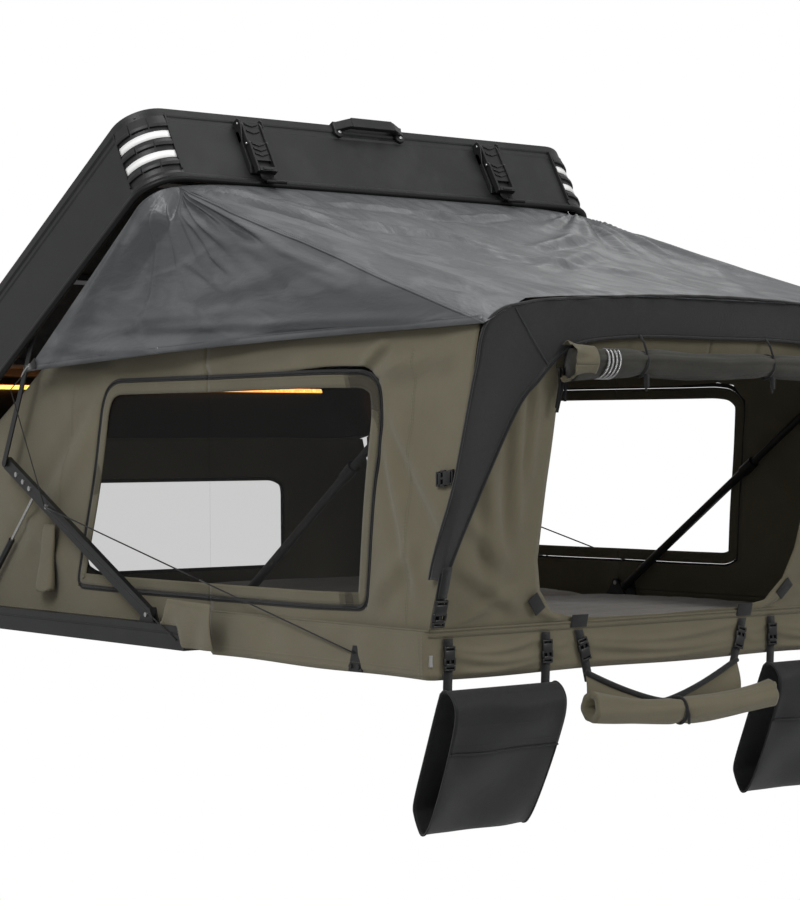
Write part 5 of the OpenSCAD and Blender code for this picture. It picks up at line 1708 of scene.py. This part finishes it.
def latches():
    """Strap latches: housing and ears on the lid, ribbed lever with a clip, strap and end bar."""
    house, lever, strap, pins = [], [], [], []
    for y in (-LATCH_Y, LATCH_Y):
        house.append(prism(HOUSING, "y", y - 0.037, y + 0.037))
        for s in (-1, 1):
            house.append(prism(EAR, "y", *sorted((y + s * 0.0325, y + s * 0.0370))))
            pins.append(tube([lid_point(PIN_X, y + s * q, PIN_Z) for q in (0.0365, 0.0388)], 0.0036, 12))
            pins.append(tube([lid_point(0.7060, y + s * q, 0.1830) for q in (0.0300, 0.0345)], 0.0032, 12))
            lever.append(prism(LEVER_UPPER, "y", *sorted((y + s * 0.0255, y + s * 0.0315))))
            lever.append(prism(LEVER_LOWER, "y", *sorted((y + s * 0.0240, y + s * 0.0300))))
        for x1, half, z, bevel in LEVER_PLATES:
            lever.append(span((0.6985, x1), (y - half, y + half), z, bevel))
        lever.append(span((0.7150, 0.7195), (y - 0.0150, y + 0.0150), (0.0935, 0.1000), 0.0010))
        for x, z in LEVER_RIBS:
            vee = [(y - 0.020, z + 0.007), (y, z), (y + 0.020, z + 0.007), (y + 0.020, z + 0.0125),
                   (y, z + 0.0055), (y - 0.020, z + 0.0125)]
            lever.append(prism(vee, "x", x - 0.001, x + 0.0035, 0.0006))
        strap.append(ribbon([(x, y, z) for x, z in STRAP_LINE], (0, 1, 0), 0.040, 0.0042))
        bar = [(0.7310, y + d, 0.0450) for d in (-0.030, -0.029, 0.029, 0.030)]
        strap.append(tube(bar, (0.003, 0.0044, 0.0044, 0.003), 12))
    fit("latch_housings", on_lid(house), PLASTIC, "lid", "black_plastic", "latch_bases", smooth=False)
    fit("latch_lever_set", on_lid(lever), PLASTIC, "latches", "black_plastic", "latch_levers", smooth=False)
    fit("latch_strap_set", on_lid(strap), RUBBER, "latches", "black_rubber", "latch_straps")
    fit("latch_pins", merge(pins), STEEL, "lid", "bright_steel")


def lid_handle():
    """Grab handle: two pads on the roof that hook over its edge, and a flat grip before the wall."""
    hy = HANDLE_Y
    outline = [(0.6885, -hy - 0.013), (0.696, -hy - 0.013), (0.7190, -hy + 0.028), (0.7190, hy - 0.028),
               (0.696, hy + 0.013), (0.6885, hy + 0.013), (0.6885, hy - 0.010), (0.692, hy - 0.012),
               (0.7080, hy - 0.040), (0.7080, -hy + 0.040), (0.692, -hy + 0.012), (0.6885, -hy + 0.010)]
    parts = [prism(outline, "z", 0.2640, 0.2900, 0.0022),
             span((0.7060, 0.7215), (-hy + 0.032, hy - 0.032), (0.2615, 0.2925), 0.0035)]
    screws = []
    for s in (-1, 1):
        y = s * hy
        parts.append(span((0.644, 0.697), (y - 0.014, y + 0.014), (0.2862, 0.2925), 0.0020))
        parts.append(tube([(x, y, 0.2600) for x in (0.6885, 0.6945, 0.6965)], (0.0150, 0.0150, 0.0125), 20))
        screws.append(tube([(x, y, 0.2580) for x in (0.6960, 0.6985, 0.6995)], (0.0052, 0.0052, 0.003), 12))
    fit("grab_handle", on_lid(parts), PLASTIC, "lid", "black_plastic", "handle", smooth=False)
    fit("handle_screws", on_lid(screws), STEEL, "lid", "bright_steel")


def rim_seal():
    """Round seal along the lid's rim."""
    r, n = 0.103, 14
    x0, x1, hw = -0.600, 0.6905, 0.7435
    ring = []
    for cx, cy, a0 in ((x1 - r, hw - r, 0), (x0 + r, hw - r, 90), (x0 + r, r - hw, 180), (x1 - r, r - hw, 270)):
        for k in range(n + 1):
            a = math.radians(a0 + 90 * k / n)
            ring.append((cx + r * math.cos(a), cy + r * math.sin(a)))
    ring = resample(ring + ring[:1], 300)
    seal = tube([lid_point(x, y, 0.0665) for x, y in ring], 0.0088, 14, False)
    fit("rim_seal", seal, RUBBER, "lid", "black_rubber", "lid_seal")


lid_corners()
latches()
lid_handle()
rim_seal()


def tail_hooks():
    """Eyelet and wire hook at each rear corner of the fly."""
    for s, tag in SIDES:
        c = FLY_TAIL * [1, s, 1] + np.array([0.022, s * 0.0012, 0.014])
        turns = np.linspace(0, math.tau, 24)
        ring = [c + np.array([0.006 * math.cos(a), 0, 0.006 * math.sin(a)]) for a in turns]
        fit("fly_eyelet_" + tag, tube(ring, 0.0018, 8, False), STEEL, "lid", "bright_steel")
        hook = [c, c + np.array([-0.012, s * 0.002, -0.003]), c + np.array([-0.030, s * 0.003, -0.016]),
                c + np.array([-0.042, s * 0.002, -0.028])]
        fit("fly_hook_" + tag, tube(spline(hook, 14), 0.0021, 8), STEEL, "lid", "bright_steel")


tail_hooks()

# Camera, light, floor

PHOTO_W, PHOTO_H = 800, 900
FOCAL_PX, CENTRE_PX = 2294.9, (410.2, 473.8)    # fitted lens, in the photograph's pixels
SENSOR = 36.0
CAMERA_AT = (5.3832, -3.7067, 0.486)
CAMERA_TURN = (52.535, 0.579, -0.387)           # azimuth, elevation and roll in degrees
LIGHTS = {                                      # place, aim, size, power
    "key": ((2.6, -4.8, 4.2), (0.6, -0.2, 0.5), (2.6, 2.2), 185),
    "entrance": ((6.0, 1.2, 3.0), (1.4, 0, 0.3), (2.2, 1.8), 110),
    "streak": ((-1.3, 2.8, 3.4), (1.0, 0, 0.9), (0.5, 1.8), 2.5),
    "top": ((0.4, 0.6, 5.0), (0.6, 0, 0.6), (2.4, 2.0), 28),
}


def camera():
    """Camera fitted to the photograph."""
    az, el, roll = (math.radians(a) for a in CAMERA_TURN)
    right = Vector((math.cos(az), math.sin(az), 0))
    back = Vector((math.sin(az) * math.cos(el), -math.cos(az) * math.cos(el), math.sin(el)))
    up = back.cross(right)
    r2 = math.cos(roll) * right + math.sin(roll) * up
    u2 = -math.sin(roll) * right + math.cos(roll) * up
    cam = bpy.data.cameras.new("camera")
    cam.sensor_width = SENSOR
    cam.lens = FOCAL_PX * SENSOR / PHOTO_H
    cam.shift_x = (PHOTO_W / 2 - CENTRE_PX[0]) / PHOTO_H
    cam.shift_y = (CENTRE_PX[1] - PHOTO_H / 2) / PHOTO_H
    cam.clip_end = 60.0
    ob = bpy.data.objects.new("camera", cam)
    m = Matrix((r2, u2, back)).transposed().to_4x4()
    m.translation = CAMERA_AT
    ob.matrix_world = m
    scene.collection.objects.link(ob)
    scene.camera = ob


def light(name, at, aim, size, power):
    d = bpy.data.lights.new(name, "AREA")
    d.shape = "RECTANGLE"
    d.size, d.size_y = size
    d.energy = power
    ob = bpy.data.objects.new(name, d)
    ob.location = at
    ob.rotation_euler = (Vector(aim) - Vector(at)).to_track_quat("-Z", "Y").to_euler()
    scene.collection.objects.link(ob)


def studio():
    """White sweep behind, soft light from above, pale floor under the tent."""
    w = bpy.data.worlds.new("studio")
    scene.world = w
    w.use_nodes = True
    t = w.node_tree
    t.nodes.clear()
    out = add(t, "ShaderNodeOutputWorld")
    tc = add(t, "ShaderNodeTexCoord")
    sep = add(t, "ShaderNodeSeparateXYZ", [(tc.outputs["Generated"], 0)])
    up = add(t, "ShaderNodeMapRange", [(sep.outputs["Z"], "Value")], in_From_Min=-0.5, in_From_Max=0.8,
             in_To_Min=0.30, in_To_Max=0.62)
    soft = add(t, "ShaderNodeBackground", [(up.outputs[0], "Strength")], in_Color=(1, 1, 1, 1))
    white = add(t, "ShaderNodeBackground", in_Color=(1, 1, 1, 1), in_Strength=1.0)
    ray = add(t, "ShaderNodeLightPath")
    mix = add(t, "ShaderNodeMixShader", [
        (ray.outputs["Is Camera Ray"], 0), (soft.outputs[0], 1), (white.outputs[0], 2)])
    t.links.new(mix.outputs[0], out.inputs[0])
    for name, setting in LIGHTS.items():
        light(name, *setting)
    m, t, sh = base_material("floor")
    g = use(t, MOULD, Grain=30.0)
    t.links.new(tint(t, g.outputs["Dust"], (0.80, 0.80, 0.80), (0.84, 0.84, 0.84)), sh.inputs["Base Color"])
    sh.inputs["Roughness"].default_value = 0.9
    turns = np.linspace(0, math.tau, 64, endpoint=False)
    ring = [(0.5 + 2.4 * math.cos(a), 2.4 * math.sin(a), -1.30) for a in turns]
    piece("floor", ring, [tuple(range(64))], m)
    scene.view_settings.view_transform = "Standard"
    scene.view_settings.look = "None"


camera()
studio()
